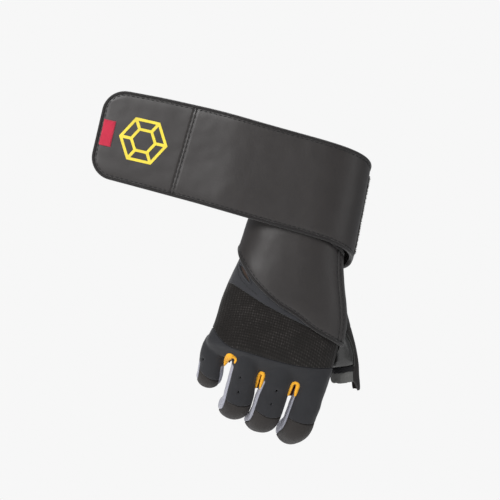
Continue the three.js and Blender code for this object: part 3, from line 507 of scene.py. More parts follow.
def evenBorder(points, triangles, rounds=8):  # takes the small teeth out of a panel's border
    edges, counts = meshEdges(triangles)
    rim = edges[counts == 1]
    onRim = np.zeros(len(points), bool)
    onRim[rim] = True
    count = np.maximum(np.bincount(rim.ravel(), minlength=len(points)), 1)[:, None]
    for _ in range(rounds):
        total = np.zeros_like(points)
        np.add.at(total, rim[:, 0], points[rim[:, 1]])
        np.add.at(total, rim[:, 1], points[rim[:, 0]])
        points = np.where(onRim[:, None], points * 0.5 + total / count * 0.5, points)
    return smoothPoints(points, triangles, 3, 0.4, onRim)


def edgeDistance(points, triangles, most=12.0):
    edges, counts = meshEdges(triangles)
    rim = edges[counts == 1]
    tree = kdtree.KDTree(len(rim) * 4)
    i = 0
    for share in (0, 0.25, 0.5, 0.75):
        for p in points[rim[:, 0]] * (1 - share) + points[rim[:, 1]] * share:
            tree.insert(p, i)
            i += 1
    tree.balance()
    return np.array([min(tree.find(p)[2], most) for p in points])


frontSide = np.flatnonzero(vertexNormals(skinPoints, skinFaces)[:, 1] < -0.1)
frontTree = kdtree.KDTree(len(frontSide))
for i, (fx, fy, fz) in enumerate(skinPoints[frontSide]):
    frontTree.insert((fx, fz, 0), i)
frontTree.balance()


def onFront(x, z, lift=0.0):
    rows = []
    for px, pz in zip(np.atleast_1d(x), np.atleast_1d(z)):
        near = [frontSide[hit[1]] for hit in frontTree.find_n((px, pz, 0), 12)]
        first = skinPoints[near, 1].min()
        near = [i for i in near if skinPoints[i, 1] < first + 2]
        rows.append((px, skinPoints[near, 1].mean() - lift, pz))
    return np.array(rows)


def softNoise(points, scale, seed):
    offset = Vector((seed * 13.7, seed * 7.1, seed * 3.3))
    return np.array([noise.noise(Vector(p) / scale + offset) for p in points])


# Each panel's look: how its edge turns in, how far it crowns and how it creases, in millimetres.
panelLooks = {
    "knuckle_panel": {"turn": 0.8, "crown": 0.35, "reach": 3, "crease": 0.42, "scale": 9},
    "back_mesh": {"turn": 0.8, "crown": 0.2, "reach": 3, "crease": 0.12, "scale": 12},
    "cuff_back": {"turn": 0.8, "crown": 0.3, "reach": 3, "crease": 0.2, "scale": 11},
    "cuff_palm": {"turn": 0.7, "crown": 0.2, "reach": 2, "crease": 0.2, "scale": 6},
    "palm_panel": {"turn": 0.8, "crown": 0.3, "reach": 3, "crease": 0.35, "scale": 13},
    "thumb_back": {"turn": 0.9, "crown": 3.4, "reach": 4.2, "crease": 0.35, "scale": 6},
    "thumb_hem": {"turn": 0.6, "crown": 0.2, "reach": 2, "crease": 0.1, "scale": 5},
    "thumb_lining": {"turn": 0.5, "crown": 0.1, "reach": 2, "crease": 0.25, "scale": 6},
    "thumb_palm": {"turn": 0.8, "crown": 0.3, "reach": 3, "crease": 0.3, "scale": 9},
    "finger_cap": {"turn": 0.9, "crown": 0.4, "reach": 3, "crease": 0.2, "scale": 8},
    "side_wall": {"turn": 0.8, "crown": 0.1, "reach": 2, "crease": 0.25, "scale": 6},
}


def panelPiece(name, data, triangles, materials):
    triangles = largestPart(triangles)
    used, back = np.unique(triangles, return_inverse=True)
    triangles = back.reshape(-1, 3)
    points, normals = evenBorder(data[used, :3], triangles), unit(data[used, 3:6])
    look = next(value for key, value in panelLooks.items() if name.startswith(key))
    away = edgeDistance(points, triangles)
    turn = look["turn"]
    short = np.clip(turn - away, 0, turn)
    rise = -turn + np.sqrt(turn**2 - short**2) + look["crown"] * (1 - np.exp(-away / look["reach"]))
    rise += look["crease"] * softNoise(points, look["scale"], len(name)) * np.clip(away / 2, 0, 1)
    outer = points + normals * rise[:, None]
    inner = points - normals * skin["wall"]
    edges, counts = meshEdges(triangles)
    loose = {tuple(e) for e in edges[counts == 1].tolist()}
    shift, rim = len(points), []
    for a, b, c in triangles.tolist():
        for i, j in ((a, b), (b, c), (c, a)):
            if (min(i, j), max(i, j)) in loose:
                rim.append((j, i, i + shift, j + shift))
    faces = [*triangles.tolist(), *(triangles[:, ::-1] + shift).tolist(), *rim]
    slots = np.array([0] * len(triangles) + [1] * len(triangles) + [0] * len(rim))
    return makeMesh(name.replace("_", "-"), np.concatenate([outer, inner]), faces, materials, slots)


# Shader groups that several materials share.
def newTree(name, use, inputs, outputs):  # a node tree with named inputs and outputs
    tree = bpy.data.node_groups.new(name, use + "NodeTree")
    for label, kind, value in inputs:
        socket = tree.interface.new_socket(label, in_out="INPUT", socket_type="NodeSocket" + kind)
        if value is not None:
            socket.default_value = value
    for label, kind in outputs:
        tree.interface.new_socket(label, in_out="OUTPUT", socket_type="NodeSocket" + kind)
    return tree, tree.nodes.new("NodeGroupInput"), tree.nodes.new("NodeGroupOutput")


def addNode(tree, kind, links=None, **settings):
    node = tree.nodes.new(kind)
    for key, value in settings.items():
        setattr(node, key, value)
    for socket, value in (links or {}).items():
        if isinstance(value, bpy.types.NodeSocket):
            tree.links.new(value, node.inputs[socket])
        else:
            node.inputs[socket].default_value = value
    return node


def mathNode(tree, operation, a, b=0.0, c=0.0):
    return addNode(tree, "ShaderNodeMath", {0: a, 1: b, 2: c}, operation=operation).outputs[0]


def scaled(tree, vector, size):
    return addNode(tree, "ShaderNodeVectorMath", {0: vector, "Scale": size}, operation="SCALE").outputs[0]


def grainGroup():  # pebbled leather: height, and a mask of its valleys
    tree, source, sink = newTree("leatherGrain", "Shader", [("Scale", "Float", 900.0)],
                                 [("Height", "Float"), ("Valley", "Float")])
    coords = addNode(tree, "ShaderNodeTexCoord").outputs["Object"]
    bent = addNode(tree, "ShaderNodeTexNoise", {"Vector": coords, "Scale": 420.0, "Detail": 2.0})
    shifted = scaled(tree, bent.outputs["Color"], 0.0009)
    moved = addNode(tree, "ShaderNodeVectorMath", {0: coords, 1: shifted}, operation="ADD").outputs[0]
    cells = addNode(tree, "ShaderNodeTexVoronoi", {"Vector": moved, "Scale": source.outputs["Scale"]},
                    feature="DISTANCE_TO_EDGE")
    soft = addNode(tree, "ShaderNodeMapRange", {"Value": cells.outputs["Distance"], "From Max": 0.22})
    fine = addNode(tree, "ShaderNodeTexNoise", {"Vector": coords, "Scale": 2600.0, "Detail": 3.0})
    height = mathNode(tree, "MULTIPLY_ADD", fine.outputs["Fac"], 0.3, soft.outputs[0])
    tree.links.new(height, sink.inputs["Height"])
    tree.links.new(mathNode(tree, "SUBTRACT", 1.0, soft.outputs[0]), sink.inputs["Valley"])
    return tree


def driftGroup():  # slow changes of tone over a piece
    inputs = [("Color", "Color", (0.1, 0.1, 0.1, 1)), ("Scale", "Float", 45.0), ("Amount", "Float", 0.25)]
    tree, source, sink = newTree("toneDrift", "Shader", inputs, [("Color", "Color"), ("Fac", "Float")])
    coords = addNode(tree, "ShaderNodeTexCoord").outputs["Object"]
    slow = addNode(tree, "ShaderNodeTexNoise", {"Vector": coords, "Scale": source.outputs["Scale"], "Detail": 4.0,
                                                "Roughness": 0.6})
    centred = mathNode(tree, "SUBTRACT", slow.outputs["Fac"], 0.5)
    gain = mathNode(tree, "MULTIPLY_ADD", centred, mathNode(tree, "MULTIPLY", source.outputs["Amount"], 2.0), 1.0)
    tree.links.new(scaled(tree, source.outputs["Color"], gain), sink.inputs["Color"])
    tree.links.new(slow.outputs["Fac"], sink.inputs["Fac"])
    return tree


def weaveGroup():  # threads that cross, in the plane of the back of the hand
    tree, source, sink = newTree("clothWeave", "Shader", [("Pitch", "Float", 0.0008), ("Turn", "Float", 0.0)],
                                 [("Height", "Float"), ("Gaps", "Float")])
    coords = addNode(tree, "ShaderNodeTexCoord").outputs["Object"]
    turned = addNode(tree, "ShaderNodeVectorRotate", {"Vector": coords, "Axis": (0, 1, 0),
                                                      "Angle": source.outputs["Turn"]}, rotation_type="AXIS_ANGLE")
    parts = addNode(tree, "ShaderNodeSeparateXYZ", {0: turned.outputs[0]})
    rate = mathNode(tree, "DIVIDE", 2 * math.pi, source.outputs["Pitch"])
    waves = []
    for axis in ("X", "Z"):
        bent = mathNode(tree, "MULTIPLY_ADD", parts.outputs["Y"], 0.55, parts.outputs[axis])
        waves.append(mathNode(tree, "SINE", mathNode(tree, "MULTIPLY", bent, rate)))
    crossed = mathNode(tree, "MULTIPLY", waves[0], waves[1])
    height = mathNode(tree, "MULTIPLY_ADD", crossed, 0.5, 0.5)
    tree.links.new(height, sink.inputs["Height"])
    gaps = addNode(tree, "ShaderNodeMapRange", {"Value": height, "From Min": 0.0, "From Max": 0.35, "To Min": 1.0,
                                                "To Max": 0.0})
    tree.links.new(gaps.outputs[0], sink.inputs["Gaps"])
    return tree


grain, drift, weave = grainGroup(), driftGroup(), weaveGroup()
diagonal = 0.785  # an eighth of a turn, for cloth on the bias


def newMaterial(name):
    material = bpy.data.materials.new(name)
    material.use_nodes = True
    tree = material.node_tree
    return material, tree, tree.nodes["Principled BSDF"]


def placeGroup(tree, group, links):
    return addNode(tree, "ShaderNodeGroup", links, node_tree=group)


def blended(tree, factor, one, other):
    return addNode(tree, "ShaderNodeMix", {"Factor": factor, 6: one, 7: other}, data_type="RGBA").outputs[2]


def withPaintedShade(tree, mask, share, tone, color, shade):  # painted shade: the tone, deeper where the mask is
    deep = (color[0] * shade, color[1] * shade, color[2] * shade, 1)
    return blended(tree, mathNode(tree, "MULTIPLY", mask, share), tone.outputs["Color"], deep)


def addBump(tree, shader, height, strength, distance):
    bump = addNode(tree, "ShaderNodeBump", {"Height": height, "Strength": strength, "Distance": distance})
    tree.links.new(bump.outputs[0], shader.inputs["Normal"])


def leather(name, color, roughness, grainScale=900.0, relief=0.25, spread=0.12, coat=0.0, gloss=0.4):
    material, tree, shader = newMaterial(name)
    pebbles = placeGroup(tree, grain, {"Scale": grainScale})
    tone = placeGroup(tree, drift, {"Color": (*color, 1), "Scale": 38.0, "Amount": 0.22})
    # painted shade in the grain's valleys
    tree.links.new(withPaintedShade(tree, pebbles.outputs["Valley"], 0.35, tone, color, 0.45), shader.inputs["Base Color"])
    rough = mathNode(tree, "MULTIPLY_ADD", tone.outputs["Fac"], spread * 2, roughness - spread)
    tree.links.new(mathNode(tree, "MULTIPLY_ADD", pebbles.outputs["Valley"], 0.12, rough), shader.inputs["Roughness"])
    addBump(tree, shader, pebbles.outputs["Height"], relief, 0.00025)
    shader.inputs["Coat Weight"].default_value = coat
    shader.inputs["Coat Roughness"].default_value = 0.3
    shader.inputs["Specular IOR Level"].default_value = gloss
    return material


def cloth(name, color, roughness, pitch, relief, turn=0.0, sheen=0.3, gapShade=0.4, fuzz=0.0):
    material, tree, shader = newMaterial(name)
    threads = placeGroup(tree, weave, {"Pitch": pitch, "Turn": turn})
    tone = placeGroup(tree, drift, {"Color": (*color, 1), "Scale": 60.0, "Amount": 0.2})
    # painted shade in the gaps between threads
    tree.links.new(withPaintedShade(tree, threads.outputs["Gaps"], gapShade, tone, color, 0.3), shader.inputs["Base Color"])
    shader.inputs["Roughness"].default_value = roughness
    coords = addNode(tree, "ShaderNodeTexCoord").outputs["Object"]
    nap = addNode(tree, "ShaderNodeTexNoise", {"Vector": coords, "Scale": 3000.0, "Detail": 3.0})
    height = mathNode(tree, "MULTIPLY_ADD", nap.outputs["Fac"], 0.4 + fuzz, threads.outputs["Height"])
    addBump(tree, shader, height, relief, 0.0003)
    shader.inputs["Sheen Weight"].default_value = sheen
    shader.inputs["Sheen Roughness"].default_value = 0.5
    shader.inputs["Specular IOR Level"].default_value = 0.12
    return material


def airMesh(name, base, glint, pitch):  # knit with a lattice of raised knots, with a painted highlight on some of them
    material, tree, shader = newMaterial(name)
    knots = placeGroup(tree, weave, {"Pitch": pitch, "Turn": diagonal})
    tone = placeGroup(tree, drift, {"Color": (*base, 1), "Scale": 70.0, "Amount": 0.3})
    patch = placeGroup(tree, drift, {"Scale": 34.0})
    coords = addNode(tree, "ShaderNodeTexCoord").outputs["Object"]
    odd = addNode(tree, "ShaderNodeTexNoise", {"Vector": coords, "Scale": 520.0, "Detail": 2.0})
    # painted highlight: raised knots, picked by noise, blended to a lighter colour
    lit = mathNode(tree, "MULTIPLY", knots.outputs["Height"], patch.outputs["Fac"])
    bright = mathNode(tree, "MULTIPLY", odd.outputs["Fac"], lit)
    mask = addNode(tree, "ShaderNodeMapRange", {"Value": bright, "From Min": 0.17, "From Max": 0.36})
    # painted shade in the gaps of the knit
    dark = withPaintedShade(tree, knots.outputs["Gaps"], 0.6, tone, base, 0.25)
    tree.links.new(blended(tree, mask.outputs[0], dark, (*glint, 1)), shader.inputs["Base Color"])
    height = mathNode(tree, "MULTIPLY_ADD", odd.outputs["Fac"], 0.5, knots.outputs["Height"])
    addBump(tree, shader, height, 0.6, 0.0004)
    shader.inputs["Roughness"].default_value = 0.9
    shader.inputs["Specular IOR Level"].default_value = 0.1
    shader.inputs["Sheen Weight"].default_value = 0.1
    return material


def plain(name, color, roughness):
    material, tree, shader = newMaterial(name)
    tone = placeGroup(tree, drift, {"Color": (*color, 1), "Scale": 160.0, "Amount": 0.25})
    tree.links.new(tone.outputs["Color"], shader.inputs["Base Color"])
    shader.inputs["Roughness"].default_value = roughness
    addBump(tree, shader, tone.outputs["Fac"], 0.1, 0.0002)
    return material


finishes = {
    "wrap": leather("wrapLeather", (0.0185, 0.0152, 0.0143), 0.4, 1500.0, 0.06, 0.04, 0.0, 0.5),
    "tip": leather("tipLeather", (0.022, 0.0185, 0.017), 0.6, 1900.0, 0.2, 0.06, 0.0, 0.3),
    "thumb": leather("thumbLeather", (0.0055, 0.005, 0.0036), 0.24, 1500.0, 0.06, 0.05, 0.4, 0.5),
    "palm": leather("palmLeather", (0.015, 0.013, 0.012), 0.58, 1700.0, 0.25, 0.06, 0.0, 0.3),
    "suede": cloth("knuckleSuede", (0.021, 0.0212, 0.0235), 0.7, 0.0007, 0.12, 0.4, 0.14, 0.12, 0.8),
    # the lighter colour is a painted highlight on some knots
    "knit": airMesh("knitMesh", (0.014, 0.0125, 0.0115), (0.045, 0.041, 0.039), 0.0024),
    "neoprene": cloth("cuffNeoprene", (0.033, 0.0335, 0.037), 0.75, 0.0006, 0.25, 0.0, 0.15, 0.3),
    "elastic": cloth("cuffElastic", (0.01, 0.01, 0.011), 0.8, 0.0012, 0.6, 0.0, 0.1, 0.5),
    "side": cloth("sideStretch", (0.33, 0.33, 0.38), 0.7, 0.0006, 0.3, diagonal, 0.2, 0.35),
    "yellow": cloth("webYellow", (0.83, 0.4, 0.03), 0.65, 0.0007, 0.4, diagonal, 0.1, 0.25),
    # dark maroon sheet behind each trim's slit: painted shade in the gap between the fingers
    "shade": cloth("webPaintedShade", (0.05, 0.008, 0.004), 0.8, 0.0007, 0.3),
    "tape": cloth("bindingTape", (0.0175, 0.016, 0.0158), 0.42, 0.0009, 0.3, diagonal, 0.15, 0.3),
    "lining": cloth("innerLining", (0.012, 0.0095, 0.008), 0.9, 0.0008, 0.3, 0.0, 0.05),
    # brown of the inside behind the cuff's opening, darkened as painted shade
    "brown": cloth("slitBrown", (0.06, 0.042, 0.034), 0.8, 0.0008, 0.3, 0.0, 0.1),
    "thread": plain("seamThread", (0.004, 0.004, 0.004), 0.7),
    "pile": plain("loopPile", (0.016, 0.011, 0.008), 0.9),
    "hook": plain("hookTape", (0.01, 0.01, 0.011), 0.5),
    "tag": cloth("tagWeave", (0.5, 0.028, 0.06), 0.6, 0.0005, 0.5, 0.0, 0.2, 0.3),
    "print": plain("emblemPrint", (0.7, 0.56, 0.03), 0.5),
    # the side walls' grey cloth again, darker as painted shade where it lines the thumb
    "shadedSide": cloth("sideStretchPaintedShade", (0.12, 0.12, 0.115), 0.7, 0.0006, 0.3, diagonal, 0.1, 0.3),
    "piping": cloth("greyPiping", (0.045, 0.045, 0.042), 0.55, 0.0006, 0.3, 0.0, 0.1),
}
panelSlots = {
    "knuckle_panel": ("suede", "knuckle_suede"), "back_mesh": ("knit", "knit_mesh"),
    "cuff_back": ("neoprene", "cuff_neoprene"), "cuff_palm": ("elastic", "cuff_elastic"),
    "palm_panel": ("palm", "palm_leather"), "thumb_back": ("thumb", "thumb_leather"),
    # the thumb's lining takes the darker copy of the side grey: painted shade
    "thumb_hem": ("elastic", "tape"), "thumb_lining": ("shadedSide", "side_grey"), "thumb_palm": ("palm", "palm_leather"),
    "finger_cap": ("tip", "tip_leather"), "side_wall": ("side", "side_grey"),
}


skinData, panels = cutPanels()
for name, triangles in panels.items():
    finish, slotName = next(value for key, value in panelSlots.items() if name.startswith(key))
    piece = place(panelPiece(name, skinData, triangles, [finishes[finish], finishes["lining"]]), [name], slotName)
print("panels:", len(panels))

# What is sewn on the panels: the bound opening of the cuff, the thumb's piping and fine rows of stitches.
def tube(name, path, radius, finish, closed=False, sides=10):
    ahead = unit(np.roll(path, -1, 0) - np.roll(path, 1, 0) if closed else np.gradient(path, axis=0))
    side = unit(np.cross(ahead, np.array([0.05, -1, 0.02])))
    up = np.cross(side, ahead)
    turn = np.linspace(0, 2 * math.pi, sides, endpoint=False)[None, :, None]
    rings = path[:, None] + (side[:, None] * np.cos(turn) + up[:, None] * np.sin(turn)) * radius
    if closed:
        points = rings.reshape(-1, 3)
        faces = tubeFaces(len(path), sides)
        last = (len(path) - 1) * sides
        faces += [(last + j, last + (j + 1) % sides, (j + 1) % sides, j) for j in range(sides)]
        return makeMesh(name, points, faces, [finishes[finish]])
    return makeMesh(name, *loft(rings), [finishes[finish]])


def slitLine(out, steps=26):  # the opening's outline, moved out by some way
    start, length, ahead = slitAxis()
    side = np.array([-ahead[1], ahead[0]])
    share = (1 - np.cos(np.linspace(0, math.pi, steps))) / 2
    half = slit["half"] * np.sin(math.pi * share**0.8) + out
    middle = start + ahead * (share * (length + 2 * out) - out)[:, None]
    return middle + side * half[:, None], middle - side * half[:, None]


left, right = slitLine(0.35)
ring = np.concatenate([left, right[-2:0:-1]])
place(tube("slitBinding", onFront(ring[:, 0], ring[:, 1], 0.15), 0.5, "neoprene", True), [], "cuff_neoprene")
left, right = slitLine(1.2, 18)
across = np.linspace(0, 1, 6)[None, :, None]
flat = left[:, None] * (1 - across) + right[:, None] * across
inside = onFront(flat[..., 0].ravel(), flat[..., 1].ravel(), -2.1).reshape(18, 6, 3)  # the sheet behind the opening, its dark brown partly the inside's own colour and partly painted shade
for _ in range(6):
    inside[1:-1, 1:-1] = (inside[:-2, 1:-1] + inside[2:, 1:-1] + inside[1:-1, :-2] + inside[1:-1, 2:]) / 4


def spread(points, steps=200):
    at = np.linspace(0, len(points) - 1, steps)
    return np.stack([np.interp(at, range(len(points)), points[:, k]) for k in range(points.shape[1])], -1)


beside = spread(np.array([(-32.6, -19.5), (-31.0, -24.3), (-27.3, -28.4), (-22.6, -31.4), (-16.5, -34.3)]))
shares = np.linspace(thumb["leather"] + 0.02, thumb["hem"] + 0.01, 60)
thumbEdge = thumbPoint(shares, thumbSeam(shares) - 1, 0.25)
print("edges prepared")

# The wrap.
wrap = {"width": 66, "free": 149.5, "thickness": 2, "stand": 2.7, "slack": 8, "taper": 0.05, "round": 15,
        "bindingWidth": 2.2, "bindingHalf": 1.55, "wristWidth": 0.7, "wristDepth": 1.2, "middle": 0.027}
wrapRows = table("turn low high loose", [
    (6, -0.865, 0.1, 0), (25, -0.845, 0.14, 0), (45, -0.81, 0.19, 0), (65, -0.755, 0.25, 0), (80, -0.67, 0.31, 0),
    (95, -0.585, 0.38, 0), (120, -0.42, 0.5, 0), (145, -0.26, 0.65, 0), (180, -0.11, 0.84, 0), (225, -0.09, 0.9, 0.2),
    (270, -0.11, 0.9, 0.6), (320, -0.09, 0.92, 1), (345, -0.03, 0.98, 1), (360, 0.045, 1.04, 1), (390, 0.12, 1.12, 1),
    (420, 0.17, 1.165, 1), (450, 0.195, 1.19, 1),
])
freeRows = table("reach low high bow", [
    (0, 0.195, 1.19, 0), (0.25, 0.222, 1.215, -0.006), (0.37, 0.237, 1.23, -0.004), (0.48, 0.251, 1.24, 0.009),
    (0.59, 0.261, 1.241, 0.022), (0.75, 0.275, 1.238, 0.036), (1, 0.295, 1.215, 0.063),
])
wrapStart, wrapEnd = wrapRows["turn"][0], wrapRows["turn"][-1]
wrapStop = wrapEnd + wrap["free"]
loopWidth = wrap["wristWidth"] * hand["width"] + 2 * wrap["stand"] + wrap["thickness"] + wrap["slack"]
loopDepth = wrap["wristDepth"] * hand["depth"] + 2 * (2 * wrap["stand"] + wrap["thickness"] / 2)
loopMiddle = wrap["middle"] * hand["width"]


def wrapPoint(place, height):
    place, height = np.broadcast_arrays(np.asarray(place, float), np.asarray(height, float))
    turn = np.minimum(place, wrapEnd)
    onHand = handPoint(height, turn, wrap["stand"])
    angle = np.radians(turn)
    narrow = loopWidth / 2 * (1 - wrap["taper"] * np.maximum(height, 0) / wrap["width"])
    power = 2 / hand["squareness"]
    onLoop = np.stack([loopMiddle + narrow * bulge(np.cos(angle), power),
                       -loopDepth / 2 * bulge(np.sin(angle), power), height], -1)
    loose = np.clip(curve(wrapRows, "turn", "loose", turn), 0, 1)[..., None]
    reach = place - wrapEnd
    bow = curve(freeRows, "reach", "bow", reach / wrap["free"]) * wrap["free"]
    free = np.stack([loopMiddle - reach, bow - loopDepth / 2, height], -1)
    return np.where((place > wrapEnd)[..., None], free, onHand * (1 - loose) + onLoop * loose)


def wrapFace(place, height):
    ahead = wrapPoint(place + 1, height) - wrapPoint(place - 1, height)
    up = wrapPoint(place, height + 1) - wrapPoint(place, height - 1)
    return unit(np.cross(up, ahead))


def wrapEdges(place, inset=0.0):
    place = np.asarray(place, float)

    def edge(key, sign):
        height = lambda at: curve(wrapRows, "turn", key, at) * wrap["width"]
        length = np.linalg.norm(wrapPoint(place + 1, height(place)) - wrapPoint(place - 1, height(place)), axis=-1) / 2
        slope = (height(place + 1) - height(place - 1)) / 2 / length
        bound = height(place) + sign * inset * np.hypot(1, slope)
        left = wrapStop - inset - place
        radius = wrap["round"] - inset
        rounded = np.where(left < radius, radius - np.sqrt(np.maximum(radius**2 - (radius - left) ** 2, 0)), 0)
        free = curve(freeRows, "reach", key, (place - wrapEnd) / wrap["free"]) * wrap["width"] + sign * (inset + rounded)
        return np.where(place > wrapEnd, free, bound)

    return edge("low", 1), edge("high", -1)


def wrapPlaces(inset, turnStep=1.5, step=1.6):
    bends = np.arange(wrapStart, wrapEnd, turnStep)
    seam = wrapEnd + crossSeam["reach"]
    straight = np.arange(wrapEnd, seam - 6, step)
    straight = np.concatenate([straight, np.arange(seam - 6, seam + 6, 0.5),
                               np.arange(seam + 6, wrapStop - wrap["round"], step)])
    end, radius = wrapStop - inset, wrap["round"] - inset
    rounded = end - radius * (1 - np.sin(np.radians(np.linspace(0, 90, 14))))
    return np.concatenate([bends, straight, rounded])


def wrapCreases(points):
    flat = points.reshape(-1, 3)
    return (0.3 * softNoise(flat, 26, 4) + 0.12 * softNoise(flat, 7, 6)).reshape(points.shape[:-1])


crossSeam = {"reach": 88.5, "gap": 1.9, "depth": 0.4, "lean": 0.055, "from": 20.5, "to": 77.5}
baseSeams = [22.0, 30.0]  # the rows that sew the wrap's start to the glove, as turns round the wrist


def wrapRise(at, height):  # how far the leather's face stands off the middle of the wrap, and its crease alone
    at, height = np.broadcast_arrays(np.asarray(at, float), np.asarray(height, float))
    low, high = wrapEdges(at, 0.9)
    rim = np.minimum(np.minimum(height - low, high - height), wrapStop - 0.9 - at)
    rise = (wrap["thickness"] / 2 + 0.35 * (1 - np.exp(-np.maximum(rim - 1.7, 0) / 3))
            - 0.3 * np.exp(-((rim - 1.9) / 0.7) ** 2))
    off = np.abs(at - wrapEnd - crossSeam["reach"] + crossSeam["lean"] * (height - 47))
    rise = rise - crossSeam["depth"] * np.exp(-((off - crossSeam["gap"] / 2) / 0.7) ** 2)
    for seam in baseSeams:
        rise = rise - 0.5 * np.exp(-((at - seam) / 1.6) ** 2)
    crease = wrapCreases(wrapPoint(at, height)) * np.clip(rim / 4, 0, 1)
    return rise + crease, crease


def onWrapFace(at, height, lift=0.0):
    at, height = np.broadcast_arrays(np.asarray(at, float), np.asarray(height, float))
    return wrapPoint(at, height) + wrapFace(at, height) * (wrapRise(at, height)[0] + lift)[..., None]


def sheetMesh(name, outer, inner, materials, split=False):  # a thin closed sheet from two matching grids
    rows, columns = outer.shape[:2]
    shift = rows * columns
    faces = [f[::-1] for f in tubeFaces(rows, columns, 0, False)]
    faces += tubeFaces(rows, columns, shift, False)
    slots = [0] * (len(faces) // 2) + [1 if split else 0] * (len(faces) // 2)
    rim = [*range(columns), *[i * columns + columns - 1 for i in range(1, rows)],
           *[(rows - 1) * columns + j for j in range(columns - 2, -1, -1)],
           *[i * columns for i in range(rows - 2, 0, -1)]]
    faces += [(a, b, b + shift, a + shift) for a, b in zip(rim, rim[1:] + rim[:1])]
    slots += [0] * len(rim)
    return makeMesh(name, np.concatenate([outer.reshape(-1, 3), inner.reshape(-1, 3)]), faces, materials, slots)


def wrapBody():
    places = wrapPlaces(0.9)
    low, high = wrapEdges(places, 0.9)
    heights = low[:, None] + (high - low)[:, None] * np.linspace(0, 1, 45)
    grid = np.broadcast_to(places[:, None], heights.shape)
    middle, face = wrapPoint(grid, heights), wrapFace(grid, heights)
    rise, crease = wrapRise(grid, heights)
    inner = middle - face * (wrap["thickness"] / 2 - crease * 0.8)[..., None]
    return sheetMesh("wrapStrap", middle + face * rise[..., None], inner, [finishes["wrap"], finishes["lining"]], True)


def wrapOutline(step=1.2):  # the wrap's edge as places and heights, with the way in from it
    places = wrapPlaces(0.0, 1.5, step)
    low, high = wrapEdges(places)
    end = wrapEdges(wrapStop)
    across = np.linspace(end[0], end[1], 26)[1:-1]
    path = np.concatenate([np.column_stack([places, low]), np.column_stack([np.full(len(across), wrapStop), across]),
                           np.column_stack([places[::-1], high[::-1]])])
    at, height = path.T
    scale = np.linalg.norm(wrapPoint(at + 0.5, height) - wrapPoint(at - 0.5, height), axis=-1)
    ahead = np.gradient(path, axis=0)
    ahead[:, 0] *= scale
    ahead = unit(ahead)
    return path, np.column_stack([-ahead[:, 1] / scale, ahead[:, 0]])


def onWrap(path, inward, depth, offset):
    at = path + inward * depth
    return wrapPoint(at[:, 0], at[:, 1]) + wrapFace(at[:, 0], at[:, 1]) * offset


def wrapBinding():
    path, inward = wrapOutline()
    half, wide = wrap["bindingHalf"], wrap["bindingWidth"]
    section = [(wide, 0.75), (wide - 0.08, 1.2), (wide - 0.4, half - 0.12), (wide * 0.6, half)]
    section += [(1.0 - 1.0 * math.sin(a), half * math.cos(a)) for a in np.linspace(0, math.pi, 11)]
    section += [(wide * 0.6, -half), (wide - 0.4, 0.12 - half), (wide - 0.08, -1.2), (wide, -0.75),
                (1.1, -0.8), (1.1, 0.8)]
    rings = np.stack([onWrap(path, inward, depth, offset) for depth, offset in section], 1)
    points, faces = loft(rings)
    return makeMesh("wrapBinding", points, faces, [finishes["tape"]])


# Rows of stitches: paths with one stitch every few millimetres.
def stitchTree():
    inputs = [("Geometry", "Geometry", None), ("Spacing", "Float", 0.0035), ("Length", "Float", 0.0024),
              ("Radius", "Float", 0.0003), ("Material", "Material", None)]
    tree, source, sink = newTree("stitchRow", "Geometry", inputs, [("Geometry", "Geometry")])
    line = addNode(tree, "GeometryNodeMeshToCurve", {"Mesh": source.outputs["Geometry"]})
    spaced = addNode(tree, "GeometryNodeResampleCurve", {"Curve": line.outputs[0], "Length": source.outputs["Spacing"]},
                     mode="LENGTH")
    ball = addNode(tree, "GeometryNodeMeshUVSphere", {"Segments": 6, "Rings": 5, "Radius": 1.0})
    halfLength = mathNode(tree, "MULTIPLY", source.outputs["Length"], 0.5)
    radius = source.outputs["Radius"]
    size = addNode(tree, "ShaderNodeCombineXYZ", {0: radius, 1: radius, 2: halfLength})
    tangent = addNode(tree, "GeometryNodeInputTangent")
    turned = addNode(tree, "FunctionNodeAlignRotationToVector", {"Vector": tangent.outputs[0]}, axis="Z")
    copies = addNode(tree, "GeometryNodeInstanceOnPoints", {"Points": spaced.outputs[0], "Instance": ball.outputs["Mesh"],
                                                            "Rotation": turned.outputs[0], "Scale": size.outputs[0]})
    real = addNode(tree, "GeometryNodeRealizeInstances", {0: copies.outputs[0]})
    smoothed = addNode(tree, "GeometryNodeSetShadeSmooth", {0: real.outputs[0]})
    finished = addNode(tree, "GeometryNodeSetMaterial", {"Geometry": smoothed.outputs[0],
                                                         "Material": source.outputs["Material"]})
    tree.links.new(finished.outputs[0], sink.inputs[0])
    return tree


stitchRow = stitchTree()


def runTree(item, tree, values):
    modifier = item.modifiers.new("grow", "NODES")
    modifier.node_group = tree
    for socket in tree.interface.items_tree:
        if socket.in_out == "INPUT" and socket.name in values:
            modifier[socket.identifier] = values[socket.name]
    shown = item.evaluated_get(bpy.context.evaluated_depsgraph_get())
    made = bpy.data.meshes.new_from_object(shown)
    item.modifiers.remove(modifier)
    item.data = made
    return item


def stitches(name, paths, radius=0.32, spacing=3.4, length=2.5):
    points, edges, start = [], [], 0
    for path in paths:
        points.append(path)
        edges += [(start + i, start + i + 1) for i in range(len(path) - 1)]
        start += len(path)
    mesh = bpy.data.meshes.new(name)
    mesh.from_pydata([tuple(p) for p in np.concatenate(points) * mm], edges, [])
    values = {"Spacing": spacing * mm, "Length": length * mm, "Radius": radius * mm, "Material": finishes["thread"]}
    return runTree(addObject(name, mesh), stitchRow, values)


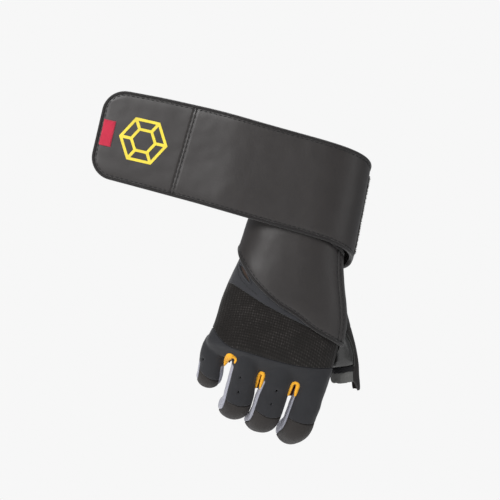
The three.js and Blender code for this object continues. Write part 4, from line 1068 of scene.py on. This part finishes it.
slitRow = [onFront(beside[:, 0], beside[:, 1], 0.42)]
place(stitches("slitStitches", slitRow, 0.22, 2.6, 1.9), [], "cuff_neoprene")
place(sheetMesh("slitInside", inside, inside + np.array([0, 0.5, 0]), [finishes["brown"]]), [], "cuff_neoprene")
place(tube("thumbPiping", thumbEdge, 0.6, "piping"), [], "thumb_leather")
strap = place(wrapBody(), ["wrap_strap"], "wrap_leather")
binding = place(wrapBinding(), ["wrap_binding"], "tape")
path, inward = wrapOutline()
rows = [onWrap(path, inward, 3.0, 1.02), onWrap(path, inward, 3.0, -1.02)]
place(stitches("bindingStitches", rows), [], "tape")
seams = []
for shift in (-crossSeam["gap"] / 2, crossSeam["gap"] / 2):
    heights = np.linspace(crossSeam["from"], crossSeam["to"], 60)
    seams.append(onWrapFace(wrapEnd + crossSeam["reach"] + shift - crossSeam["lean"] * (heights - 47), heights))
for at in baseSeams:
    low, high = wrapEdges(np.array([at]), 4.0)
    heights = np.linspace(low[0], high[0], 60)
    seams.append(onWrapFace(at, heights))
place(stitches("crossStitches", seams), [], "wrap_leather")
print("wrap: strap, binding, stitches")


def patchGrid(first, last, inset):
    places = np.arange(first, min(last, wrapStop - wrap["round"]), 1.5)
    if last >= wrapStop:
        end, radius = wrapStop - inset, wrap["round"] - inset
        places = np.concatenate([places, end - radius * (1 - np.sin(np.radians(np.linspace(0, 88, 12))))])
    low, high = wrapEdges(places, inset)
    heights = low[:, None] + (high - low)[:, None] * np.linspace(0, 1, 34)
    return np.broadcast_to(places[:, None], heights.shape), heights


def wrapSlab(name, facts):
    grid, heights = patchGrid(facts["from"], facts["to"], facts["inset"])
    middle, face = wrapPoint(grid, heights), wrapFace(grid, heights)
    crease = wrapCreases(middle) * 0.8
    return sheetMesh(name, middle + face * (facts["upper"] + crease)[..., None],
                     middle + face * (facts["lower"] + crease)[..., None], [finishes[facts["finish"]]])


# Pile and hooks: small tufts or stubs that stand on a patch.
def napTree():
    inputs = [("Geometry", "Geometry", None), ("Density", "Float", 1e6), ("Length", "Float", 0.001),
              ("Radius", "Float", 0.0002), ("Lean", "Float", 0.6), ("Seed", "Int", 3), ("Material", "Material", None)]
    tree, source, sink = newTree("patchNap", "Geometry", inputs, [("Geometry", "Geometry")])
    spots = addNode(tree, "GeometryNodeDistributePointsOnFaces", {
        "Mesh": source.outputs["Geometry"], "Density": source.outputs["Density"], "Seed": source.outputs["Seed"]})
    stub = addNode(tree, "GeometryNodeMeshCone", {"Vertices": 4, "Radius Top": 0.3, "Radius Bottom": 1.0, "Depth": 1.0})
    least = scaled(tree, (-1, -1, 0), source.outputs["Lean"])
    most = scaled(tree, (1, 1, 6), source.outputs["Lean"])
    tip = addNode(tree, "FunctionNodeRandomValue", {0: least, 1: most, "Seed": source.outputs["Seed"]},
                  data_type="FLOAT_VECTOR")
    radius = source.outputs["Radius"]
    size = addNode(tree, "ShaderNodeCombineXYZ", {0: radius, 1: radius, 2: source.outputs["Length"]})
    copies = addNode(tree, "GeometryNodeInstanceOnPoints", {"Points": spots.outputs[0], "Instance": stub.outputs["Mesh"],
                                                            "Rotation": spots.outputs["Rotation"], "Scale": size.outputs[0]})
    leaned = addNode(tree, "GeometryNodeRotateInstances", {"Instances": copies.outputs[0], "Rotation": tip.outputs[0],
                                                           "Local Space": True})
    real = addNode(tree, "GeometryNodeRealizeInstances", {0: leaned.outputs[0]})
    finished = addNode(tree, "GeometryNodeSetMaterial", {"Geometry": real.outputs[0],
                                                         "Material": source.outputs["Material"]})
    tree.links.new(finished.outputs[0], sink.inputs[0])
    return tree


patchNap = napTree()


def nap(name, facts, values):
    offset = facts["napRise"]
    grid, heights = patchGrid(facts["napFrom"], facts["to"], facts["napInset"])
    middle, face = wrapPoint(grid, heights), wrapFace(grid, heights)
    points = (middle + face * (offset + wrapCreases(middle) * 0.8)[..., None]).reshape(-1, 3)
    faces = tubeFaces(*grid.shape, 0, False)
    item = makeMesh(name, points, faces if offset > 0 else [f[::-1] for f in faces])
    return runTree(item, patchNap, {**values, "Material": finishes[facts["finish"]]})


loop = {"from": 216, "to": 357, "inset": 5, "lower": 1.15, "upper": 2.1, "napFrom": 216, "napInset": 5.2, "napRise": 2.1,
        "finish": "pile"}
pileLook = {"Density": 2e6, "Length": 0.00095, "Radius": 0.00014, "Lean": 0.8}
hook = {"from": wrapStop - 62, "to": wrapStop, "inset": 5, "lower": -2.2, "upper": -1.2, "napFrom": wrapStop - 61,
        "napInset": 6, "napRise": -2.2, "finish": "hook"}
hookLook = {"Density": 6e5, "Length": 0.0012, "Radius": 0.00018, "Lean": 0.2}
loopPatch = place(wrapSlab("loopPatch", loop), ["wrap_loop_patch"], "loop_pile")
hookPatch = place(wrapSlab("hookPatch", hook), ["wrap_hook_patch"], "hook_pile")
place(nap("loopPile", loop, pileLook), [], "loop_pile")
place(nap("hookRows", hook, hookLook), [], "hook_pile")

# The yellow trims round the webs, each a padded horseshoe with a dark sheet of painted shade behind its slit.
trims = [
    {"name": "little_ring", "shadeSheet": 14, "recess": 1.2, "edges": table("row outX outZ inX inZ", [
        (0, -27.0, -88.6, -25.7, -88.4), (1, -27.2, -86.4, -24.6, -86.5), (2, -27.3, -84.2, -24.0, -84.8),
        (3, -27.3, -82.2, -23.4, -83.6), (4, -26.9, -80.4, -22.9, -82.8), (5, -26.1, -79.2, -22.5, -82.2),
        (6, -24.7, -78.5, -22.1, -81.7), (7, -23.1, -78.6, -21.7, -81.2), (8, -21.6, -79.3, -21.1, -81.0),
        (9, -20.2, -80.1, -20.5, -81.2), (10, -18.8, -81.2, -20.1, -81.9), (11, -18.4, -82.5, -19.9, -82.8),
        (12, -18.7, -83.8, -20.0, -84.0), (13, -19.2, -84.9, -20.1, -84.9),
    ])},
    {"name": "ring_middle", "one": "ring", "other": "middle", "up": -1.0, "top": -86.8, "legs": (11, 10),
     "turns": (75, 75), "wide": (2.7, 2.6), "outset": 0.35, "shadeSheet": 18, "recess": 4.5},
    {"name": "middle_index", "one": "middle", "other": "index", "up": -1.01, "top": -88.2, "legs": (8.5, 8),
     "turns": (57, 61), "wide": (2.6, 2.9), "outset": 0.8, "shadeSheet": 18, "recess": 4.5},
]
trimLook = {"thickness": 2.6, "archWide": 2.8, "shadeSheet": 0.8}


def evenPath(points, count):
    steps = np.concatenate([[0], np.cumsum(np.linalg.norm(np.diff(points, axis=0), axis=1))])
    at = np.linspace(0, steps[-1], count)
    return np.stack([np.interp(at, steps, points[:, k]) for k in range(3)], -1)


def trimSides(facts):  # both legs' middle lines from the top of the arch down, with widths and facings
    tops, legs = [], []
    for k, (finger, sign) in enumerate(((facts["one"], 1), (facts["other"], -1))):
        f = fingers[finger]
        stations = webStation(f, facts["up"]) + np.linspace(0, facts["legs"][k], 8)
        points = fingerPoint(f, stations, sign * facts["turns"][k], 0.35)
        legs.append((points, unit(fingerPoint(f, stations, sign * facts["turns"][k], 1.35) - points)))
        tops.append(points[0])
    across = unit(tops[1] - tops[0])
    paths = []
    for k, (points, normals) in enumerate(legs):
        sign = 1 if k == 0 else -1
        taper = np.linspace(1, 0.72, len(points))[:, None]
        paths.append((points + sign * across * (facts["wide"][k] / 2 * taper - facts["outset"]), normals, taper))
    middle = (paths[0][0][0] + paths[1][0][0]) / 2
    top = onFront(middle[0], facts["top"], -0.2)[0]
    sides = []
    for k, (points, normals, taper) in enumerate(paths):
        angles = np.radians(np.linspace(0, 90, 8))[:-1, None]
        arch = middle + (top - middle) * np.cos(angles) + (points[0] - middle) * np.sin(angles)
        spine = evenPath(np.concatenate([arch, points]), 18)
        share = np.linspace(0, 1, 18)[:, None]
        front = np.array([0, -1, 0.25])
        facing = unit(front * 1.3 + normals[0] * np.clip(share * 3 - 0.4, 0, 1) * 0.9)
        blend = np.clip(share * 1.9, 0, 1) ** 0.8
        wide = trimLook["archWide"] * (1 - blend) + facts["wide"][k] * blend
        wide = wide * (1 - 0.3 * np.clip(share * 1.5 - 0.5, 0, 1))
        sides.append((spine, facing, wide))
    (left, leftFace, leftWide), (right, rightFace, rightWide) = sides
    spine = np.concatenate([left[::-1], right[1:]])
    facing = np.concatenate([leftFace[::-1], rightFace[1:]])
    wide = np.concatenate([leftWide[::-1], rightWide[1:]])
    tangent = unit(np.gradient(spine, axis=0))
    facing = unit(facing - tangent * dot(facing, tangent)[:, None])
    return spine, np.cross(tangent, facing) * wide / 2, facing


def trimInside(facts):  # a trim given by the outlines of its front, laid on the glove
    at, edges = np.linspace(0, 13, 35), []
    for x, z in (("outX", "outZ"), ("inX", "inZ")):
        edge = onFront(curve(facts["edges"], "row", x, at), curve(facts["edges"], "row", z, at), 0.3)
        for _ in range(6):
            edge[1:-1, 1] = (edge[:-2, 1] + edge[1:-1, 1] + edge[2:, 1]) / 3
        edges.append(edge)
    outer, inner = edges
    inner[:, 1] = np.clip(inner[:, 1], outer[:, 1] - 0.3, outer[:, 1] + 2.5)
    spine, half = (outer + inner) / 2, (inner - outer) / 2
    return spine, half, unit(np.cross(half, np.gradient(spine, axis=0)))


def webTrim(facts):
    spine, half, facing = trimInside(facts) if "edges" in facts else trimSides(facts)
    along = np.linspace(-1, 1, len(spine))
    plump = np.sqrt(np.maximum(1 - np.abs(along) ** 10, 0.03))
    turn = np.radians(np.arange(0, 360, 18))[None, :, None]
    bead = 1 + 0.04 * np.sin(along * 60)  # the stitches draw the padding in
    thick = np.clip(0.9 + 1.3 * np.linalg.norm(half, axis=1), 1.3, trimLook["thickness"])
    rings = (spine[:, None] + half[:, None] * np.cos(turn) * (plump * bead)[:, None, None]
             + facing[:, None] * np.sin(turn) * (thick / 2 * plump * bead)[:, None, None])
    points, faces = loft(rings)
    slots = [0] * len(faces)
    rows, shift = [], len(points)
    behind = spine - facing * 0.5
    # a dark sheet behind the slit, coloured as painted shade
    for k in range(2, facts["shadeSheet"]):
        a, b = behind[17 - k], behind[17 + k]
        if "edges" in facts:  # the painted shade shows as a lip along the inner edge
            b = a + half[17 - k] + unit(half[17 - k]) * 1.1
        dip = np.array([0, 1, 0]) * facts["recess"]
        for depth in (0, trimLook["shadeSheet"]):
            rows.append([a * (1 - t) + b * t + dip * math.sin(math.pi * t) ** 0.6 + np.array([0, depth, 0])
                         for t in np.linspace(0, 1, 9)])
    grid = np.array(rows).reshape(-1, 2, 9, 3)
    shadeSheetPoints, shadeSheetFaces = loft(np.concatenate([grid[:, 0], grid[:, 1, ::-1]], 1))
    faces += [tuple(i + shift for i in face) for face in shadeSheetFaces]
    slots += [1] * len(shadeSheetFaces)
    return makeMesh("webTrim-" + facts["name"].replace("_", "-"), np.concatenate([points, shadeSheetPoints]), faces,
                    [finishes["yellow"], finishes["shade"]], slots)


for facts in trims:
    item = place(webTrim(facts), ["web_trim_" + facts["name"]], "web_yellow")

# Tag and emblem on the free end.
tag = {"inset": 3, "width": 8.5, "height": 18, "thickness": 0.7}
emblem = {"inset": 32.5, "radius": 17, "outerIn": 0.87, "innerOut": 0.56, "innerIn": 0.43, "spoke": 0.06,
          "thickness": 0.16}


def wrapMiddle(at):
    low, high = wrapEdges(np.array([at]))
    return float(low[0] + high[0]) / 2


def tagPiece():
    across, up = np.linspace(0, tag["width"], 10), np.linspace(-tag["height"] / 2, tag["height"] / 2, 20)
    at, height = np.meshgrid(wrapStop - tag["inset"] - across, wrapMiddle(wrapStop) + up, indexing="ij")
    rim = np.minimum(np.minimum(across, tag["width"] - across)[:, None], (tag["height"] / 2 - np.abs(up))[None])
    lift = 0.35 + tag["thickness"] * (1 - np.exp(-rim / 0.35)) + 0.12 * np.sin(across / 2.4)[:, None]
    outer = onWrapFace(at, height, 1) + wrapFace(at, height) * (lift - 1)[..., None]
    return sheetMesh("wrapTag", outer, onWrapFace(at, height, 0.1), [finishes["tag"]])


def emblemPiece():
    centre = np.array([wrapStop - emblem["inset"], wrapMiddle(wrapStop - emblem["inset"])])
    points, faces = [], []

    def band(corners):  # a closed strip given by matching inner and outer outlines
        start = len(points)
        points.extend(corners)
        count = len(corners) // 2
        for i in range(count):
            j = (i + 1) % count
            faces.append((start + i, start + j, start + count + j, start + count + i))

    def hexagon(radius, steps=8):
        corners = [np.array([math.cos(a), math.sin(a)]) * radius for a in np.radians(np.arange(0, 360, 60))]
        return [corners[i] * (1 - k / steps) + corners[(i + 1) % 6] * k / steps for i in range(6) for k in range(steps)]

    radius = emblem["radius"]
    band(hexagon(radius * emblem["outerIn"]) + hexagon(radius))
    band(hexagon(radius * emblem["innerIn"]) + hexagon(radius * emblem["innerOut"]))
    for angle in np.radians(np.arange(0, 360, 60)):
        out = np.array([math.cos(angle), math.sin(angle)])
        side = np.array([-out[1], out[0]]) * emblem["spoke"] * radius
        start = len(points)
        reach = np.linspace(emblem["innerOut"] * radius * 0.91, emblem["outerIn"] * radius * 1.01, 6)
        points.extend([out * r - side for r in reach] + [out * r + side for r in reach])
        faces.extend((start + i, start + i + 1, start + 7 + i, start + 6 + i) for i in range(5))
    flat = np.array(points)
    at, height = centre[0] - flat[:, 0], centre[1] + flat[:, 1]
    item = makeMesh("wrapEmblem", onWrapFace(at, height, emblem["thickness"]), faces, [finishes["print"]], smooth=False)
    thick = item.modifiers.new("thick", "SOLIDIFY")
    thick.thickness, thick.offset = 0.0002, -1
    return item


place(tagPiece(), ["wrap_tag"], "tag_red")
place(emblemPiece(), ["wrap_emblem"], "emblem_yellow")
print("trims, tag and emblem")

# Camera, floor and light.
view = {"lens": 250, "width": 0.3448, "shift": -0.0276, "roll": 13}


def addCamera():
    roll = math.radians(view["roll"])
    right = Vector((math.cos(roll), 0, math.sin(roll)))
    up = Vector((-math.sin(roll), 0, math.cos(roll)))
    data = bpy.data.cameras.new("photoView")
    data.lens = view["lens"]
    camera = addObject("photoView", data)
    distance = view["width"] * view["lens"] / data.sensor_width
    turn = Matrix((right, up, Vector((0, -1, 0)))).transposed().to_4x4()
    camera.matrix_world = Matrix.Translation(right * view["shift"] + Vector((0, -distance, 0))) @ turn
    data.clip_end = 50
    bpy.context.scene.camera = camera


def floorFinish():
    material, tree, shader = newMaterial("paleFloor")
    shader.inputs["Base Color"].default_value = (0.85, 0.85, 0.85, 1)
    shader.inputs["Roughness"].default_value = 0.95
    shader.inputs["Specular IOR Level"].default_value = 0.1
    shader.inputs["Emission Color"].default_value = (1, 1, 1, 1)
    seen = addNode(tree, "ShaderNodeLightPath").outputs["Is Camera Ray"]
    tree.links.new(mathNode(tree, "MULTIPLY_ADD", seen, 0.3, 0.12), shader.inputs["Emission Strength"])
    return material


def addFloor():
    size, low = 2200, -420
    corners = [(-size, -size, low), (size, -size, low), (size, size, low), (-size, size, low)]
    makeMesh("studioFloor", corners, [(0, 1, 2, 3)], [floorFinish()])


def addLight(name, spot, size, power):  # aimed at the wrist
    data = bpy.data.lights.new(name, "AREA")
    data.shape, data.size, data.energy = "DISK", size, power
    lamp = addObject(name, data)
    lamp.location = spot
    lamp.rotation_mode = "QUATERNION"
    lamp.rotation_quaternion = Vector(spot).to_track_quat("Z", "Y")


def addAir():  # white behind the object, softer where it only lights it
    world = bpy.data.worlds.new("studioAir")
    world.use_nodes = True
    tree = world.node_tree
    seen, lit = tree.nodes["Background"], tree.nodes.new("ShaderNodeBackground")
    seen.inputs[0].default_value = (0.93, 0.93, 0.93, 1)
    lit.inputs[0].default_value = (0.95, 0.97, 1, 1)
    lit.inputs[1].default_value = 0.36
    path, mix = tree.nodes.new("ShaderNodeLightPath"), tree.nodes.new("ShaderNodeMixShader")
    tree.links.new(path.outputs["Is Camera Ray"], mix.inputs[0])
    tree.links.new(lit.outputs[0], mix.inputs[1])
    tree.links.new(seen.outputs[0], mix.inputs[2])
    tree.links.new(mix.outputs[0], tree.nodes["World Output"].inputs["Surface"])
    bpy.context.scene.world = world


addCamera()
addFloor()
addAir()
addLight("keyLight", (-0.95, -1.35, 0.6), 0.6, 25)
addLight("sideLight", (1.5, -0.7, 0.3), 0.8, 3)
addLight("topLight", (0.2, 0.4, 1.5), 1.0, 10)
addLight("backLight", (-0.2, 1.1, 1.5), 1.2, 22)
bpy.context.scene.view_settings.view_transform = "Standard"
